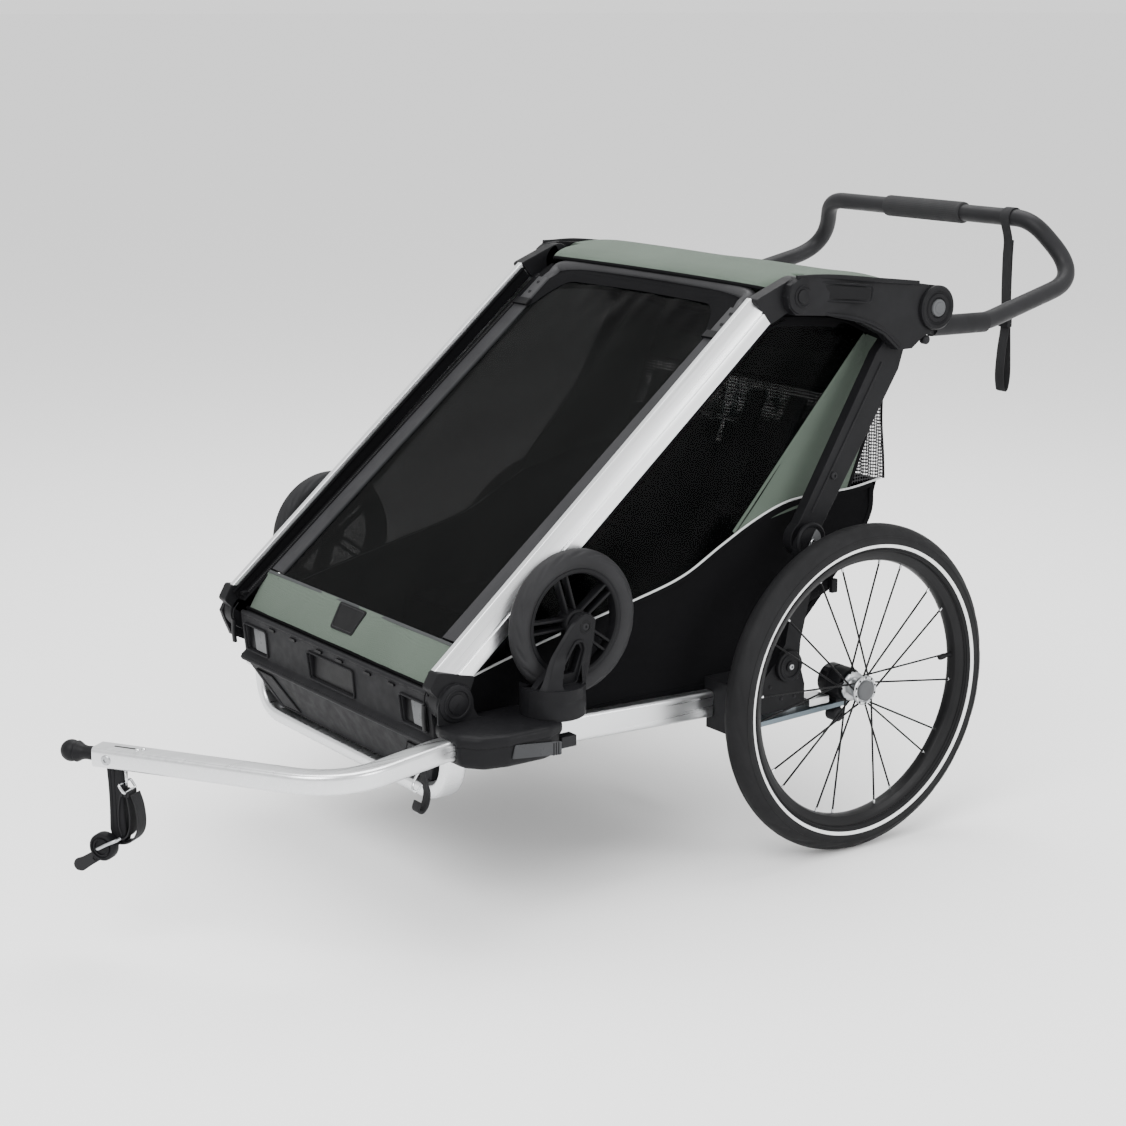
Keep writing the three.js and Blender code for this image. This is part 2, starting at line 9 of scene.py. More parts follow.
import bmesh
import bpy
import numpy as np
from mathutils import Matrix, Vector, noise
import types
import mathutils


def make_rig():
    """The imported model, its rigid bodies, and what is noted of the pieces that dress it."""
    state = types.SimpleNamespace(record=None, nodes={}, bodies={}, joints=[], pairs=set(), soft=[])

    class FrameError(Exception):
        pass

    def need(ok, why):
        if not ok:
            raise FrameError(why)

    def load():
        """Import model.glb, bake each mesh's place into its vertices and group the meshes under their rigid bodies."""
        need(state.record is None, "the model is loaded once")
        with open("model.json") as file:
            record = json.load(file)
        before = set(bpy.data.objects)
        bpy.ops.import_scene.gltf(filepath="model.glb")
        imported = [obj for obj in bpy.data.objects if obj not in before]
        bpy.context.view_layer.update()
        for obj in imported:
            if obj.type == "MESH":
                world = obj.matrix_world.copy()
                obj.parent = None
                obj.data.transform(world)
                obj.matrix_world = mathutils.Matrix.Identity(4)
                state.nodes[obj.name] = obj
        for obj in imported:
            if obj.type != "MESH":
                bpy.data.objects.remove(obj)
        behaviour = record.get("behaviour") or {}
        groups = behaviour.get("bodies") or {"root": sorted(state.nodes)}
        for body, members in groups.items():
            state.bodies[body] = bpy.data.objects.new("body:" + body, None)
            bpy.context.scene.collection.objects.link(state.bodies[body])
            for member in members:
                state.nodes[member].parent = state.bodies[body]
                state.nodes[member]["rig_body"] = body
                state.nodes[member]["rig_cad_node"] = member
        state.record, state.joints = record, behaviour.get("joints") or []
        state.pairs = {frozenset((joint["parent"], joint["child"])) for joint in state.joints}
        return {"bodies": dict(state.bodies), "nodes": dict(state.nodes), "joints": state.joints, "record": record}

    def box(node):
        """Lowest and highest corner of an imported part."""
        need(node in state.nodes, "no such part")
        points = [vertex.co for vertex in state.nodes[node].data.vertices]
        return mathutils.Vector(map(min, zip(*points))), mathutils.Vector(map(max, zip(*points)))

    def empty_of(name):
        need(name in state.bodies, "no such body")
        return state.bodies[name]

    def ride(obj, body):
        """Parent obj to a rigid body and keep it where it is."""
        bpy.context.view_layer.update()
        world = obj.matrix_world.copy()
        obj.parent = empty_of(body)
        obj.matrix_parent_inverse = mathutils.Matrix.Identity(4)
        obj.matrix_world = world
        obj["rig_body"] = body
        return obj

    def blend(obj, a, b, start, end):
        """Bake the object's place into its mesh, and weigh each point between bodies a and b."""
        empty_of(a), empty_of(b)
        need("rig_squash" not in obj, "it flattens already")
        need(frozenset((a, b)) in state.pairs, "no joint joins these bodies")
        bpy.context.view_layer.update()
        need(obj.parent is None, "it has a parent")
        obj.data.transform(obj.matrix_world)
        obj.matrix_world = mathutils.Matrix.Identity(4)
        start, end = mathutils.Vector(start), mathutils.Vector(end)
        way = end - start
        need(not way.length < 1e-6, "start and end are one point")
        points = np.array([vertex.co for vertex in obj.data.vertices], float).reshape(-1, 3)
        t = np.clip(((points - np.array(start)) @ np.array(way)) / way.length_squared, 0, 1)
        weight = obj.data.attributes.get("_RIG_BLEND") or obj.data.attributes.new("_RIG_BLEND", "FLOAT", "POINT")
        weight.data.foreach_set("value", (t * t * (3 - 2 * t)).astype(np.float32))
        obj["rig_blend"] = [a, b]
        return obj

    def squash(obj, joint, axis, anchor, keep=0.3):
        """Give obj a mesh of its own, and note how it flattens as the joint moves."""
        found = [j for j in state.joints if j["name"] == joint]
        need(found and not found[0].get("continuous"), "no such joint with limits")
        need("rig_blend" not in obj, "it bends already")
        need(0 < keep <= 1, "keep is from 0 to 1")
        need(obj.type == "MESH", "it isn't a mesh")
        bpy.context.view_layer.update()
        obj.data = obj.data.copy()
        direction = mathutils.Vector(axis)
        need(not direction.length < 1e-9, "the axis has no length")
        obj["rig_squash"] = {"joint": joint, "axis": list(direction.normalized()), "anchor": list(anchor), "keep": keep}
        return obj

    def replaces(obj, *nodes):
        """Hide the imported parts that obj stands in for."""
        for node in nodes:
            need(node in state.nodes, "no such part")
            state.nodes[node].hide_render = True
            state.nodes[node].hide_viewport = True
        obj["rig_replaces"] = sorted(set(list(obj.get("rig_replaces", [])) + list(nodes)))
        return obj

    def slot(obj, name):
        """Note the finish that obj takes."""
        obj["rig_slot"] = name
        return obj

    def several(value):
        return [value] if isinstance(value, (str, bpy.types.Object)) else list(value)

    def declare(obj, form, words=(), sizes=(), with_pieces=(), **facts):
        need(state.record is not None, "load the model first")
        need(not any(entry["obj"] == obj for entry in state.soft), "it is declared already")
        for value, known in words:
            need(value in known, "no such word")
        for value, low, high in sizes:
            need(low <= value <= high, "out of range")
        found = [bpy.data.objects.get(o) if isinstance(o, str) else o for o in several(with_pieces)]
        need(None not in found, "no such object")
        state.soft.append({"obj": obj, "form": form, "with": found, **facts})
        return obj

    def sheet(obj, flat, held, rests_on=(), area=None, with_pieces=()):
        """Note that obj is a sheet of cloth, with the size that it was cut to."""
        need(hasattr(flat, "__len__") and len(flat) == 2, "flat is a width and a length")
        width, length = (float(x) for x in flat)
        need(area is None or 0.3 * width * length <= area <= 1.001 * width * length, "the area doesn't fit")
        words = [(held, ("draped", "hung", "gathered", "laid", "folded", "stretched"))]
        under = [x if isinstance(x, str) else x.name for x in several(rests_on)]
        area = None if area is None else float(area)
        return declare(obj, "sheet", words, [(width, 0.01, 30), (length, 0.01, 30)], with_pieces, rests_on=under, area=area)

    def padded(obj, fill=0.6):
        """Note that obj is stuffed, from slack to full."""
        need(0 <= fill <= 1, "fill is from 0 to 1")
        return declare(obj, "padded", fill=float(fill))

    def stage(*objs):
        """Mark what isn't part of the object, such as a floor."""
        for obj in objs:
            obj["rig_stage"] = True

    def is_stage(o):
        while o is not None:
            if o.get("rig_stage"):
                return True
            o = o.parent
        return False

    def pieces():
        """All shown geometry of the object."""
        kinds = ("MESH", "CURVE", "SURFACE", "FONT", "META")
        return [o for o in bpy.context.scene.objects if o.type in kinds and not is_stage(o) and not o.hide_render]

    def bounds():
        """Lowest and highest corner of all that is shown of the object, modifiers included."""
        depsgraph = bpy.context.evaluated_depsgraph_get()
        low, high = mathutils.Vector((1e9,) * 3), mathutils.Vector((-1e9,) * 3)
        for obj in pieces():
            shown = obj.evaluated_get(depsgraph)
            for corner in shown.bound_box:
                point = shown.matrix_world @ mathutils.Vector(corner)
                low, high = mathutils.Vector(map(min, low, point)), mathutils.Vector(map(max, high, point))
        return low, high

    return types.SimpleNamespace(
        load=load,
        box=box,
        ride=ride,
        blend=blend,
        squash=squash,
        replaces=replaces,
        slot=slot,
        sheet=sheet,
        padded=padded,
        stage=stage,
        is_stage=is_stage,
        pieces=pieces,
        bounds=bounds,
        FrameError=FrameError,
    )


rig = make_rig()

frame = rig.load()
CAD_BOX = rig.bounds()

MM = 0.001
SIZE_FILE = "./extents.json"
TYRE_LOW, TYRE_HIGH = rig.box("left_main_tyre")
AXLE_Y = (TYRE_LOW.y + TYRE_HIGH.y) / 2       # row frame, metres
AXLE_Z = 252
WHEEL = Vector((380, 0, AXLE_Z))              # main wheel's middle
TYRE_R, TYRE_SECTION, STRIPE_R = 252, 23.1, 221.5
STOW = Vector((330, -495, 423))               # stowed wheel centre
FRONT_JOINT = (-675, 333)                     # (y, z) of each hinge of the folding frame
TOP_JOINT = (-75, 841)
POD_REAR = (110, 768)
REAR_JOINT = (-69, 482)
GRIP_JOINT = (165, 810)
CROSSBAR = (485, 916)
STRAP_X = 194                                 # wrist strap
SEAT_X = 122                                  # middle of the left seat
SIDES = ("left", "right")
BODY_X = 281                                  # half width of the fabric body
FILM_HALF, BAND_HALF, BAG_HALF = 225, 262, 279   # half widths of the cover's film and band, and of the bag
ARM_X, ARM_Z = 336, 281                       # tow arm axis where it slides in the left dock
ARM_BEND_Y = -716
ARM_CORNER = (386, -898)
ARM_TIP = Vector((80, -1093.02, 281))
ARM_WIDE, ARM_HIGH = 34, 28
UP = Vector((0, 0, 1))
ACROSS = Vector((1, 0, 0))


# ---------- camera, floor and light ----------
def make_camera():
    data = bpy.data.cameras.new("camera")
    data.sensor_width = 36
    data.lens = 72.19
    camera = bpy.data.objects.new("camera", data)
    camera.location = (2.7615, -1.9653, 1.2472)
    camera.rotation_euler = (radians(90 - 13.83), 0, radians(54.16))
    bpy.context.scene.collection.objects.link(camera)
    bpy.context.scene.camera = camera


def make_light(name, location, target, size, power):
    data = bpy.data.lights.new(name, "AREA")
    data.shape = "DISK"
    data.size = size
    data.energy = power
    light = bpy.data.objects.new(name, data)
    light.location = location
    aim = Vector(target) - Vector(location)
    light.rotation_euler = aim.to_track_quat("-Z", "Y").to_euler()
    bpy.context.scene.collection.objects.link(light)


def make_studio():
    world = bpy.data.worlds.new("studio")
    world.use_nodes = True
    sky = world.node_tree.nodes["Background"]
    sky.inputs["Color"].default_value = (1.0, 1.0, 1.0, 1)
    sky.inputs["Strength"].default_value = 1.3
    bpy.context.scene.world = world
    make_light("key", (1.6, -2.6, 3.2), (0, 0, 0.4), 2.6, 150)
    make_light("top", (-0.6, 0.8, 3.4), (0, 0, 0.4), 3.0, 130)
    make_light("side", (3.4, 1.4, 1.5), (0, 0.1, 0.4), 1.8, 60)
    mesh = bpy.data.meshes.new("floor")
    reach = 400
    corners = [(-reach, -reach, 0), (reach, -reach, 0), (reach, reach, 0), (-reach, reach, 0)]
    mesh.from_pydata(corners, [], [(0, 1, 2, 3)])
    floor = bpy.data.objects.new("floor", mesh)
    bpy.context.scene.collection.objects.link(floor)
    pale = Finish("pale_floor", (0.96, 0.96, 0.96), 0.9)
    mesh.materials.append(pale.made)
    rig.stage(floor)


# ---------- materials ----------
class Finish:
    """A Principled material whose colour, roughness and bump are varied by procedural nodes."""

    def __init__(self, name, colour, roughness, metallic=0.0, **sockets):
        self.made = bpy.data.materials.new(name)
        self.made.use_nodes = True
        self.tree = self.made.node_tree
        self.shader = self.tree.nodes["Principled BSDF"]
        self.colour = (*colour, 1)
        self.set("Base Color", self.colour)
        self.set("Roughness", roughness)
        self.set("Metallic", metallic)
        for socket, value in sockets.items():
            self.set(socket.replace("_", " "), value)
        self.place = self.node("ShaderNodeTexCoord").outputs["Object"]
        self.normal = None

    def set(self, socket, value):
        self.shader.inputs[socket].default_value = value

    def node(self, kind, settings=(), **inputs):
        made = self.tree.nodes.new(kind)
        for key, value in dict(settings).items():
            setattr(made, key, value)
        for key, value in inputs.items():
            self.feed(made.inputs[key.replace("_", " ")], value)
        return made

    def feed(self, socket, value):
        if isinstance(value, bpy.types.NodeSocket):
            self.tree.links.new(value, socket)
        else:
            socket.default_value = value

    def math(self, operation, a, b=0.0):
        made = self.tree.nodes.new("ShaderNodeMath")
        made.operation = operation
        self.feed(made.inputs[0], a)
        self.feed(made.inputs[1], b)
        return made.outputs[0]

    def axes(self):
        split = self.node("ShaderNodeSeparateXYZ", Vector=self.place)
        return [split.outputs[i] for i in range(3)]

    def stretched(self, scale, turn=0.0):
        """The object's coordinates, turned about x by degrees and then scaled."""
        turned = self.node("ShaderNodeMapping", Vector=self.place)
        turned.inputs["Rotation"].default_value = (radians(-turn), 0, 0)
        sized = self.node("ShaderNodeMapping", Vector=turned.outputs[0])
        sized.inputs["Scale"].default_value = scale
        return sized.outputs[0]

    def noise(self, scale, detail=2.0, place=None):
        made = self.node("ShaderNodeTexNoise", Vector=place or self.place, Scale=scale, Detail=detail)
        return made.outputs["Fac"]

    def spread(self, mask, low, high, out_low, out_high):
        made = self.node("ShaderNodeMapRange", Value=mask)
        for key, value in zip(("From Min", "From Max", "To Min", "To Max"), (low, high, out_low, out_high)):
            made.inputs[key].default_value = value
        return made.outputs[0]

    def tint(self, mask, other):
        mix = self.tree.nodes.new("ShaderNodeMix")
        mix.data_type = "RGBA"
        self.feed(mix.inputs[0], mask)
        base = self.shader.inputs["Base Color"]
        before = base.links[0].from_socket if base.links else self.colour
        self.feed(mix.inputs[6], before)
        mix.inputs[7].default_value = (*other, 1)
        self.tree.links.new(mix.outputs[2], base)
        return self

    def rough(self, mask, low, high):
        self.tree.links.new(self.spread(mask, 0.3, 0.7, low, high), self.shader.inputs["Roughness"])
        return self

    def bump(self, height, depth_mm, strength=1.0):
        made = self.node("ShaderNodeBump", Height=height, Distance=depth_mm * MM, Strength=strength)
        if self.normal:
            self.tree.links.new(self.normal, made.inputs["Normal"])
        self.normal = made.outputs[0]
        self.tree.links.new(self.normal, self.shader.inputs["Normal"])
        return self

    def weave(self, pitch_mm):
        """A plain weave that reads the same on any side of the object."""
        waves = [self.math("SINE", self.math("MULTIPLY", axis, 2 * pi / (pitch_mm * MM)))
                 for axis in self.axes()]
        pairs = [self.math("MULTIPLY", waves[i], waves[i - 1]) for i in range(3)]
        return self.math("ADD", self.math("ADD", pairs[0], pairs[1]), pairs[2])


def plastic(name, colour, roughness, grain_mm=0.7):
    made = Finish(name, colour, roughness, Specular_IOR_Level=0.1)
    lighter = tuple(min(1, c * 1.6 + 0.003) for c in colour)
    made.tint(made.spread(made.noise(14, 4), 0.35, 0.8, 0, 0.5), lighter)
    made.rough(made.noise(60, 3), roughness - 0.06, roughness + 0.07)
    return made.bump(made.noise(1 / (grain_mm * MM), 2), 0.07, 0.6)


def fabric(name, colour, pitch_mm, roughness=0.88, sheen=0.06, depth=0.12):
    made = Finish(name, colour, roughness, Sheen_Weight=sheen, Sheen_Roughness=0.5, Specular_IOR_Level=0.04)
    darker = tuple(c * 0.72 for c in colour)
    made.tint(made.spread(made.noise(9, 3), 0.3, 0.75, 0, 0.45), darker)
    made.tint(made.spread(made.weave(pitch_mm), 0.2, 1.4, 0, 0.35), tuple(c * 0.55 for c in colour))
    made.bump(made.weave(pitch_mm), depth, 0.7)
    return made.bump(made.noise(28, 3), 1.6, 0.35)


def metal(name, colour, roughness, turn=0.0, along=(260, 5, 260)):
    """Satin metal with a drawn grain along y, turned about x by degrees."""
    made = Finish(name, colour, roughness, 1.0)
    grain = made.noise(1.0, 4, made.stretched(along, turn))
    made.rough(grain, roughness - 0.05, roughness + 0.08)
    made.tint(made.spread(made.noise(7, 2), 0.35, 0.7, 0, 0.3), tuple(c * 0.9 for c in colour))
    return made.bump(grain, 0.03, 0.4)


def net(name, colour, pitch_mm, open_share):
    """Knitted net: staggered round holes that let light through."""
    made = Finish(name, colour, 0.8, Specular_IOR_Level=0.15)
    x, y, z = made.axes()
    k = pi / (pitch_mm * MM)
    along = made.math("COSINE", made.math("MULTIPLY", made.math("ADD", x, y), k))
    up = made.math("COSINE", made.math("MULTIPLY", z, k))
    cell = made.math("ABSOLUTE", made.math("MULTIPLY", along, up))
    alpha = made.spread(cell, open_share, open_share + 0.08, 1, 0)
    made.tree.links.new(alpha, made.shader.inputs["Alpha"])
    return made.bump(cell, 0.3, 0.5)


def film(name, colour, alpha):
    made = Finish(name, colour, 0.12, Alpha=alpha, Specular_IOR_Level=0.03)
    made.rough(made.noise(11, 3), 0.1, 0.22)
    return made.bump(made.noise(12, 2), 2.5, 0.5)


def ribbed(name, colour, roughness, pitch_mm, axis, depth):
    """Webbing or ribbed rubber: ridges that repeat along one axis."""
    made = Finish(name, colour, roughness, Specular_IOR_Level=0.15)
    ridge = made.math("SINE", made.math("MULTIPLY", made.axes()[axis], 2 * pi / (pitch_mm * MM)))
    # painted highlight: the ridge crests are painted lighter than the grooves
    made.tint(made.spread(ridge, 0.0, 1.0, 0, 0.3), tuple(c * 1.8 + 0.004 for c in colour))
    made.rough(made.noise(40, 2), roughness - 0.05, roughness + 0.05)
    return made.bump(ridge, depth, 0.8)


def piping(name, colour, roughness):
    made = Finish(name, colour, roughness)
    return made.bump(made.noise(500, 2), 0.1, 0.6)


def stripe(name, colour, roughness):
    made = Finish(name, colour, roughness)
    return made.tint(made.spread(made.noise(40, 3), 0.4, 0.8, 0, 0.5), (0.5, 0.51, 0.51))


# Each look: its maker, the material slot of the record, and what the maker takes.
LOOKS = {
    "black": (plastic, "black_plastic", "black_moulding", (0.006, 0.006, 0.0068), 0.48),
    "charcoal": (plastic, "charcoal_plastic", "charcoal_moulding", (0.013, 0.013, 0.0142), 0.5),
    "bumper": (plastic, "charcoal_plastic", "bumper_moulding", (0.0095, 0.0095, 0.0105), 0.6, 0.9),
    "grey": (plastic, "grey_plastic", "grey_cap", (0.07, 0.072, 0.075), 0.42),
    "reflector": (plastic, "grey_plastic", "grey_reflector", (0.085, 0.087, 0.09), 0.3, 1.6),
    "lens": (plastic, "grey_plastic", "dark_lens", (0.035, 0.036, 0.038), 0.3, 1.6),
    "label": (plastic, "black_plastic", "blank_label", (0.004, 0.004, 0.0045), 0.4),
    "bar": (plastic, "bar_coat", "bar_powder_coat", (0.014, 0.014, 0.015), 0.42, 0.9),
    "bow": (plastic, "bar_coat", "bow_coat", (0.03, 0.03, 0.0315), 0.36, 0.9),
    "leg": (plastic, "bar_coat", "bow_leg_coat", (0.022, 0.022, 0.0235), 0.5, 0.9),
    "sleeve": (plastic, "charcoal_plastic", "bar_sleeve", (0.011, 0.011, 0.012), 0.55),
    "rim": (plastic, "black_plastic", "rim_anodised_black", (0.008, 0.008, 0.0085), 0.36, 1.2),
    "green": (fabric, "green_fabric", "green_cloth", (0.088, 0.112, 0.091), 0.9),
    "black_cloth": (fabric, "black_fabric", "black_cloth", (0.005, 0.005, 0.0056), 0.9, 0.85, 0.0),
    "seat_cloth": (fabric, "black_fabric", "seat_cloth", (0.012, 0.0125, 0.0135), 1.4, 0.9, 0.02, 0.2),
    "seat_grey": (fabric, "black_fabric", "seat_grey_cloth", (0.05, 0.053, 0.054), 1.4, 0.9, 0.05, 0.2),
    "tyre": (plastic, "tyre_rubber", "tyre_rubber", (0.0095, 0.0095, 0.0101), 0.62, 1.1),
    "small_tyre": (plastic, "tyre_rubber", "small_tyre_rubber", (0.017, 0.017, 0.018), 0.6, 1.1),
    "silver": (metal, "silver_frame", "drawn_silver", (0.68, 0.69, 0.7), 0.3),
    "pillar_silver": (metal, "silver_frame", "pillar_silver", (0.82, 0.83, 0.84), 0.3, 40.25),
    "steel": (metal, "hub_steel", "hub_steel", (0.42, 0.43, 0.44), 0.34, 0.0, (90, 90, 90)),
    "chrome": (metal, "hub_steel", "bright_wire", (0.62, 0.63, 0.64), 0.2, 0.0, (60, 60, 60)),
    "slate": (metal, "spring_steel", "slate_spring", (0.13, 0.16, 0.18), 0.38),
    "net": (net, "mesh_fabric", "rear_net", (0.03, 0.03, 0.032), 5.2, 0.3),
    "seat_net": (net, "mesh_fabric", "seat_net", (0.05, 0.052, 0.054), 4.4, 0.45),
    "film": (film, "tinted_film", "tinted_film", (0.001, 0.0012, 0.0012), 0.7),
    "web_z": (ribbed, "black_fabric", "webbing_upright", (0.014, 0.014, 0.015), 0.75, 1.6, 2, 0.25),
    "zip": (ribbed, "black_fabric", "zip_tape", (0.018, 0.018, 0.019), 0.7, 2.4, 2, 0.3),
    "grip": (ribbed, "black_plastic", "grip_rubber", (0.02, 0.02, 0.021), 0.7, 2.2, 0, 0.2),
    "piping": (piping, "grey_plastic", "reflective_piping", (0.5, 0.51, 0.51), 0.45),
    "stripe": (stripe, "grey_plastic", "reflective_stripe", (0.72, 0.73, 0.73), 0.38),
}
FINISHES = {look: maker(*values).made for look, (maker, _, *values) in LOOKS.items()}


# ---------- shape building ----------
def at(point):
    """A point in design millimetres as a point in the row frame, in metres."""
    x, y, z = point
    return Vector((x * MM, y * MM + AXLE_Y, z * MM))


class Shape:
    """Vertices in design millimetres and the faces that join them."""

    def __init__(self, verts=(), faces=()):
        self.verts = [Vector(v) for v in verts]
        self.faces = [tuple(f) for f in faces]

    def add(self, *others):
        for other in others:
            start = len(self.verts)
            self.verts += other.verts
            self.faces += [tuple(start + i for i in face) for face in other.faces]
        return self

    def moved(self, matrix):
        return Shape([matrix @ v for v in self.verts], self.faces)

    def shifted(self, x, y, z):
        return Shape([v + Vector((x, y, z)) for v in self.verts], self.faces)

    def mirrored(self):
        verts = [(-v.x, v.y, v.z) for v in self.verts]
        return Shape(verts, [tuple(reversed(face)) for face in self.faces])


def piece(name, shape, look, body, replaces=(), smooth=35, bevel=0.0, steps=2):
    """Makes the object, with its edges over 30 degrees bevelled by that many millimetres."""
    bm = bmesh.new()
    for v in shape.verts:
        bm.verts.new(at(v))
    bm.verts.ensure_lookup_table()
    for face in shape.faces:
        if len(set(face)) > 2:
            try:
                bm.faces.new([bm.verts[i] for i in face])
            except ValueError:
                continue
    return settle(name, bm, look, body, replaces, smooth, bevel, steps)


def settle(name, bm, look, body, replaces, smooth, bevel, steps, outer_only=False):
    bmesh.ops.remove_doubles(bm, verts=bm.verts, dist=0.005 * MM)
    bmesh.ops.recalc_face_normals(bm, faces=bm.faces)
    if bevel:
        turned = [e for e in bm.edges if len(e.link_faces) == 2 and e.calc_face_angle(0) > radians(30)
                  and (e.is_convex or not outer_only)]
        bmesh.ops.bevel(bm, geom=turned, offset=bevel * MM, segments=steps, profile=0.6,
                        affect="EDGES", clamp_overlap=True)
    mesh = bpy.data.meshes.new(name)
    bm.to_mesh(mesh)
    bm.free()
    mesh.shade_smooth()
    mesh.set_sharp_from_angle(angle=radians(smooth))
    mesh.materials.append(FINISHES[look])
    made = bpy.data.objects.new(name, mesh)
    bpy.context.scene.collection.objects.link(made)
    if bevel:
        made.modifiers.new("even_shading", "WEIGHTED_NORMAL").keep_sharp = True
    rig.slot(made, LOOKS[look][1])
    if replaces:
        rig.replaces(made, *replaces)
    if body:
        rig.ride(made, body)
    return made


def pair(name, shape, look, body, replaces=(), **options):
    """The piece on the left and, mirrored, on the right. SIDE in a body or node stands for left or right."""
    made = []
    for side, form in zip(SIDES, (shape, shape.mirrored())):
        nodes = [node.replace("SIDE", side) for node in replaces]
        made.append(piece(f"{side}_{name}", form, look, body.replace("SIDE", side), nodes, **options))
    return made


def refined(node, look, name, bevel=1.2, steps=3, smooth=40, outer_only=False):
    """A copy of a CAD node with its flat faces joined and its edges rounded, which stands for that node."""
    source = frame["nodes"][node]
    bm = bmesh.new()
    bm.from_mesh(source.data)
    bmesh.ops.remove_doubles(bm, verts=bm.verts, dist=0.02 * MM)
    bmesh.ops.dissolve_limit(bm, angle_limit=radians(2), verts=bm.verts, edges=bm.edges)
    return settle(name, bm, look, source["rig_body"], [node], smooth, bevel, steps, outer_only)


def refined_pair(node, look, name, **options):
    return [refined(f"{side}_{node}", look, f"{side}_{name}", **options) for side in SIDES]


def curve(points, count):
    """Points evenly spaced along a smooth curve through the given ones."""
    p = np.array([tuple(q) for q in points], float)
    padded = np.vstack([2 * p[0] - p[1], p, 2 * p[-1] - p[-2]])
    dense = []
    for i in range(1, len(padded) - 2):
        a, b, c, d = padded[i - 1:i + 3]
        for t in np.linspace(0, 1, 24, endpoint=False):
            dense.append(0.5 * (2 * b + (c - a) * t + (2 * a - 5 * b + 4 * c - d) * t ** 2
                                + (3 * b - a - 3 * c + d) * t ** 3))
    dense.append(p[-1])
    dense = np.array(dense)
    return spaced(dense, count)


def spaced(line, count):
    """The same line as that many evenly spaced points."""
    line = np.array([tuple(q) for q in line], float)
    run = np.concatenate([[0], np.cumsum(np.linalg.norm(np.diff(line, axis=0), axis=1))])
    places = np.linspace(0, run[-1], count)
    return [Vector([np.interp(t, run, line[:, k]) for k in range(line.shape[1])]) for t in places]


def cornered(points, radii, steps=8):
    """A line of straight runs whose corners are rounded, each with the given radius."""
    corners = [Vector(p) for p in points]
    if isinstance(radii, (int, float)):
        radii = [radii] * (len(corners) - 2)
    line = [corners[0]]
    for before, corner, after, radius in zip(corners, corners[1:], corners[2:], radii):
        back = (before - corner).normalized()
        ahead = (after - corner).normalized()
        setback = radius / tan(back.angle(ahead) / 2)
        start, end = corner + back * setback, corner + ahead * setback
        for i in range(steps + 1):
            t = i / steps
            line.append(start * (1 - t) ** 2 + corner * 2 * t * (1 - t) + end * t ** 2)
    line.append(corners[-1])
    return line


def rounded(outline, radius, steps=4):
    """A closed outline with its corners rounded."""
    points = [Vector(p) for p in outline]
    out = []
    for i, corner in enumerate(points):
        back = points[i - 1] - corner
        ahead = points[(i + 1) % len(points)] - corner
        cut = min(radius / max(0.3, tan(back.angle(ahead) / 2)), back.length * 0.45, ahead.length * 0.45)
        start, end = corner + back.normalized() * cut, corner + ahead.normalized() * cut
        for k in range(steps + 1):
            t = k / steps
            out.append(start * (1 - t) ** 2 + corner * 2 * t * (1 - t) + end * t ** 2)
    return out


def rectangle(w, h, r, steps=5):
    corners = [(-w / 2, -h / 2), (w / 2, -h / 2), (w / 2, h / 2), (-w / 2, h / 2)]
    return [tuple(p) for p in rounded(corners, r, steps)]


def circle(r, sides=20):
    return [(r * cos(2 * pi * i / sides), r * sin(2 * pi * i / sides)) for i in range(sides)]


def sweep(section, path, across=None, closed=False, scale=None):
    """A section of (a, b) pairs along a path; a runs along across, or is carried round the bends."""
    points = [Vector(p) for p in path]
    n, m = len(points), len(section)
    verts = []
    side = Vector(across) if across else None
    for i, point in enumerate(points):
        before = points[i - 1] if i or closed else points[0]
        after = points[(i + 1) % n] if i < n - 1 or closed else points[-1]
        forward = (after - before).normalized()
        if side is None:
            side = forward.cross(UP if abs(forward.z) < 0.9 else ACROSS)
        if across:
            first = (Vector(across) - forward * forward.dot(Vector(across))).normalized()
        else:
            side = (side - forward * side.dot(forward)).normalized()
            first = side
        second = first.cross(forward)
        grow = scale(i / (n - 1)) if scale else 1
        verts += [point + (first * a + second * b) * grow for a, b in section]
    faces = []
    for i in range(n if closed else n - 1):
        start, after = i * m, ((i + 1) % n) * m
        faces += [(start + k, start + (k + 1) % m, after + (k + 1) % m, after + k) for k in range(m)]
    if not closed:
        faces += [tuple(range(m)), tuple(range(n * m - m, n * m))]
    return Shape(verts, faces)


def wire(r, path, sides=12, **options):
    """A round bar or cord along a path."""
    return sweep(circle(r, sides), path, **options)


def ribbon(w, h, r, path, steps=5, across=ACROSS, **options):
    """A flat bar or band with rounded edges, w wide along across."""
    return sweep(rectangle(w, h, r, steps), path, across, **options)


def arch(t):
    """0 at both ends of 0..1 and 1 in its middle."""
    return sin(pi * t)


def ramp(t):
    """t held between 0 and 1."""
    return min(1, max(0, t))


def eased(t):
    """t held between 0 and 1, with a soft start and end."""
    return ramp(t) ** 2 * (3 - 2 * ramp(t))


def lathe(profile, sides=64, axis=ACROSS, centre=(0, 0, 0), closed=False):
    """(radius, along) pairs turned about an axis through centre; closed joins the last pair to the first."""
    m = len(profile)
    verts = [(along, r * cos(2 * pi * i / sides), r * sin(2 * pi * i / sides))
             for i in range(sides) for r, along in profile]
    faces = []
    for i in range(sides):
        start, after = i * m, ((i + 1) % sides) * m
        for k in range(m if closed else m - 1):
            up = (k + 1) % m
            faces.append((start + k, start + up, after + up, after + k))
    if not closed:
        faces.append(tuple(i * m for i in range(sides)))
        faces.append(tuple(i * m + m - 1 for i in range(sides)))
    turn = ACROSS.rotation_difference(Vector(axis)).to_matrix().to_4x4()
    return Shape(verts, faces).moved(Matrix.Translation(Vector(centre)) @ turn)


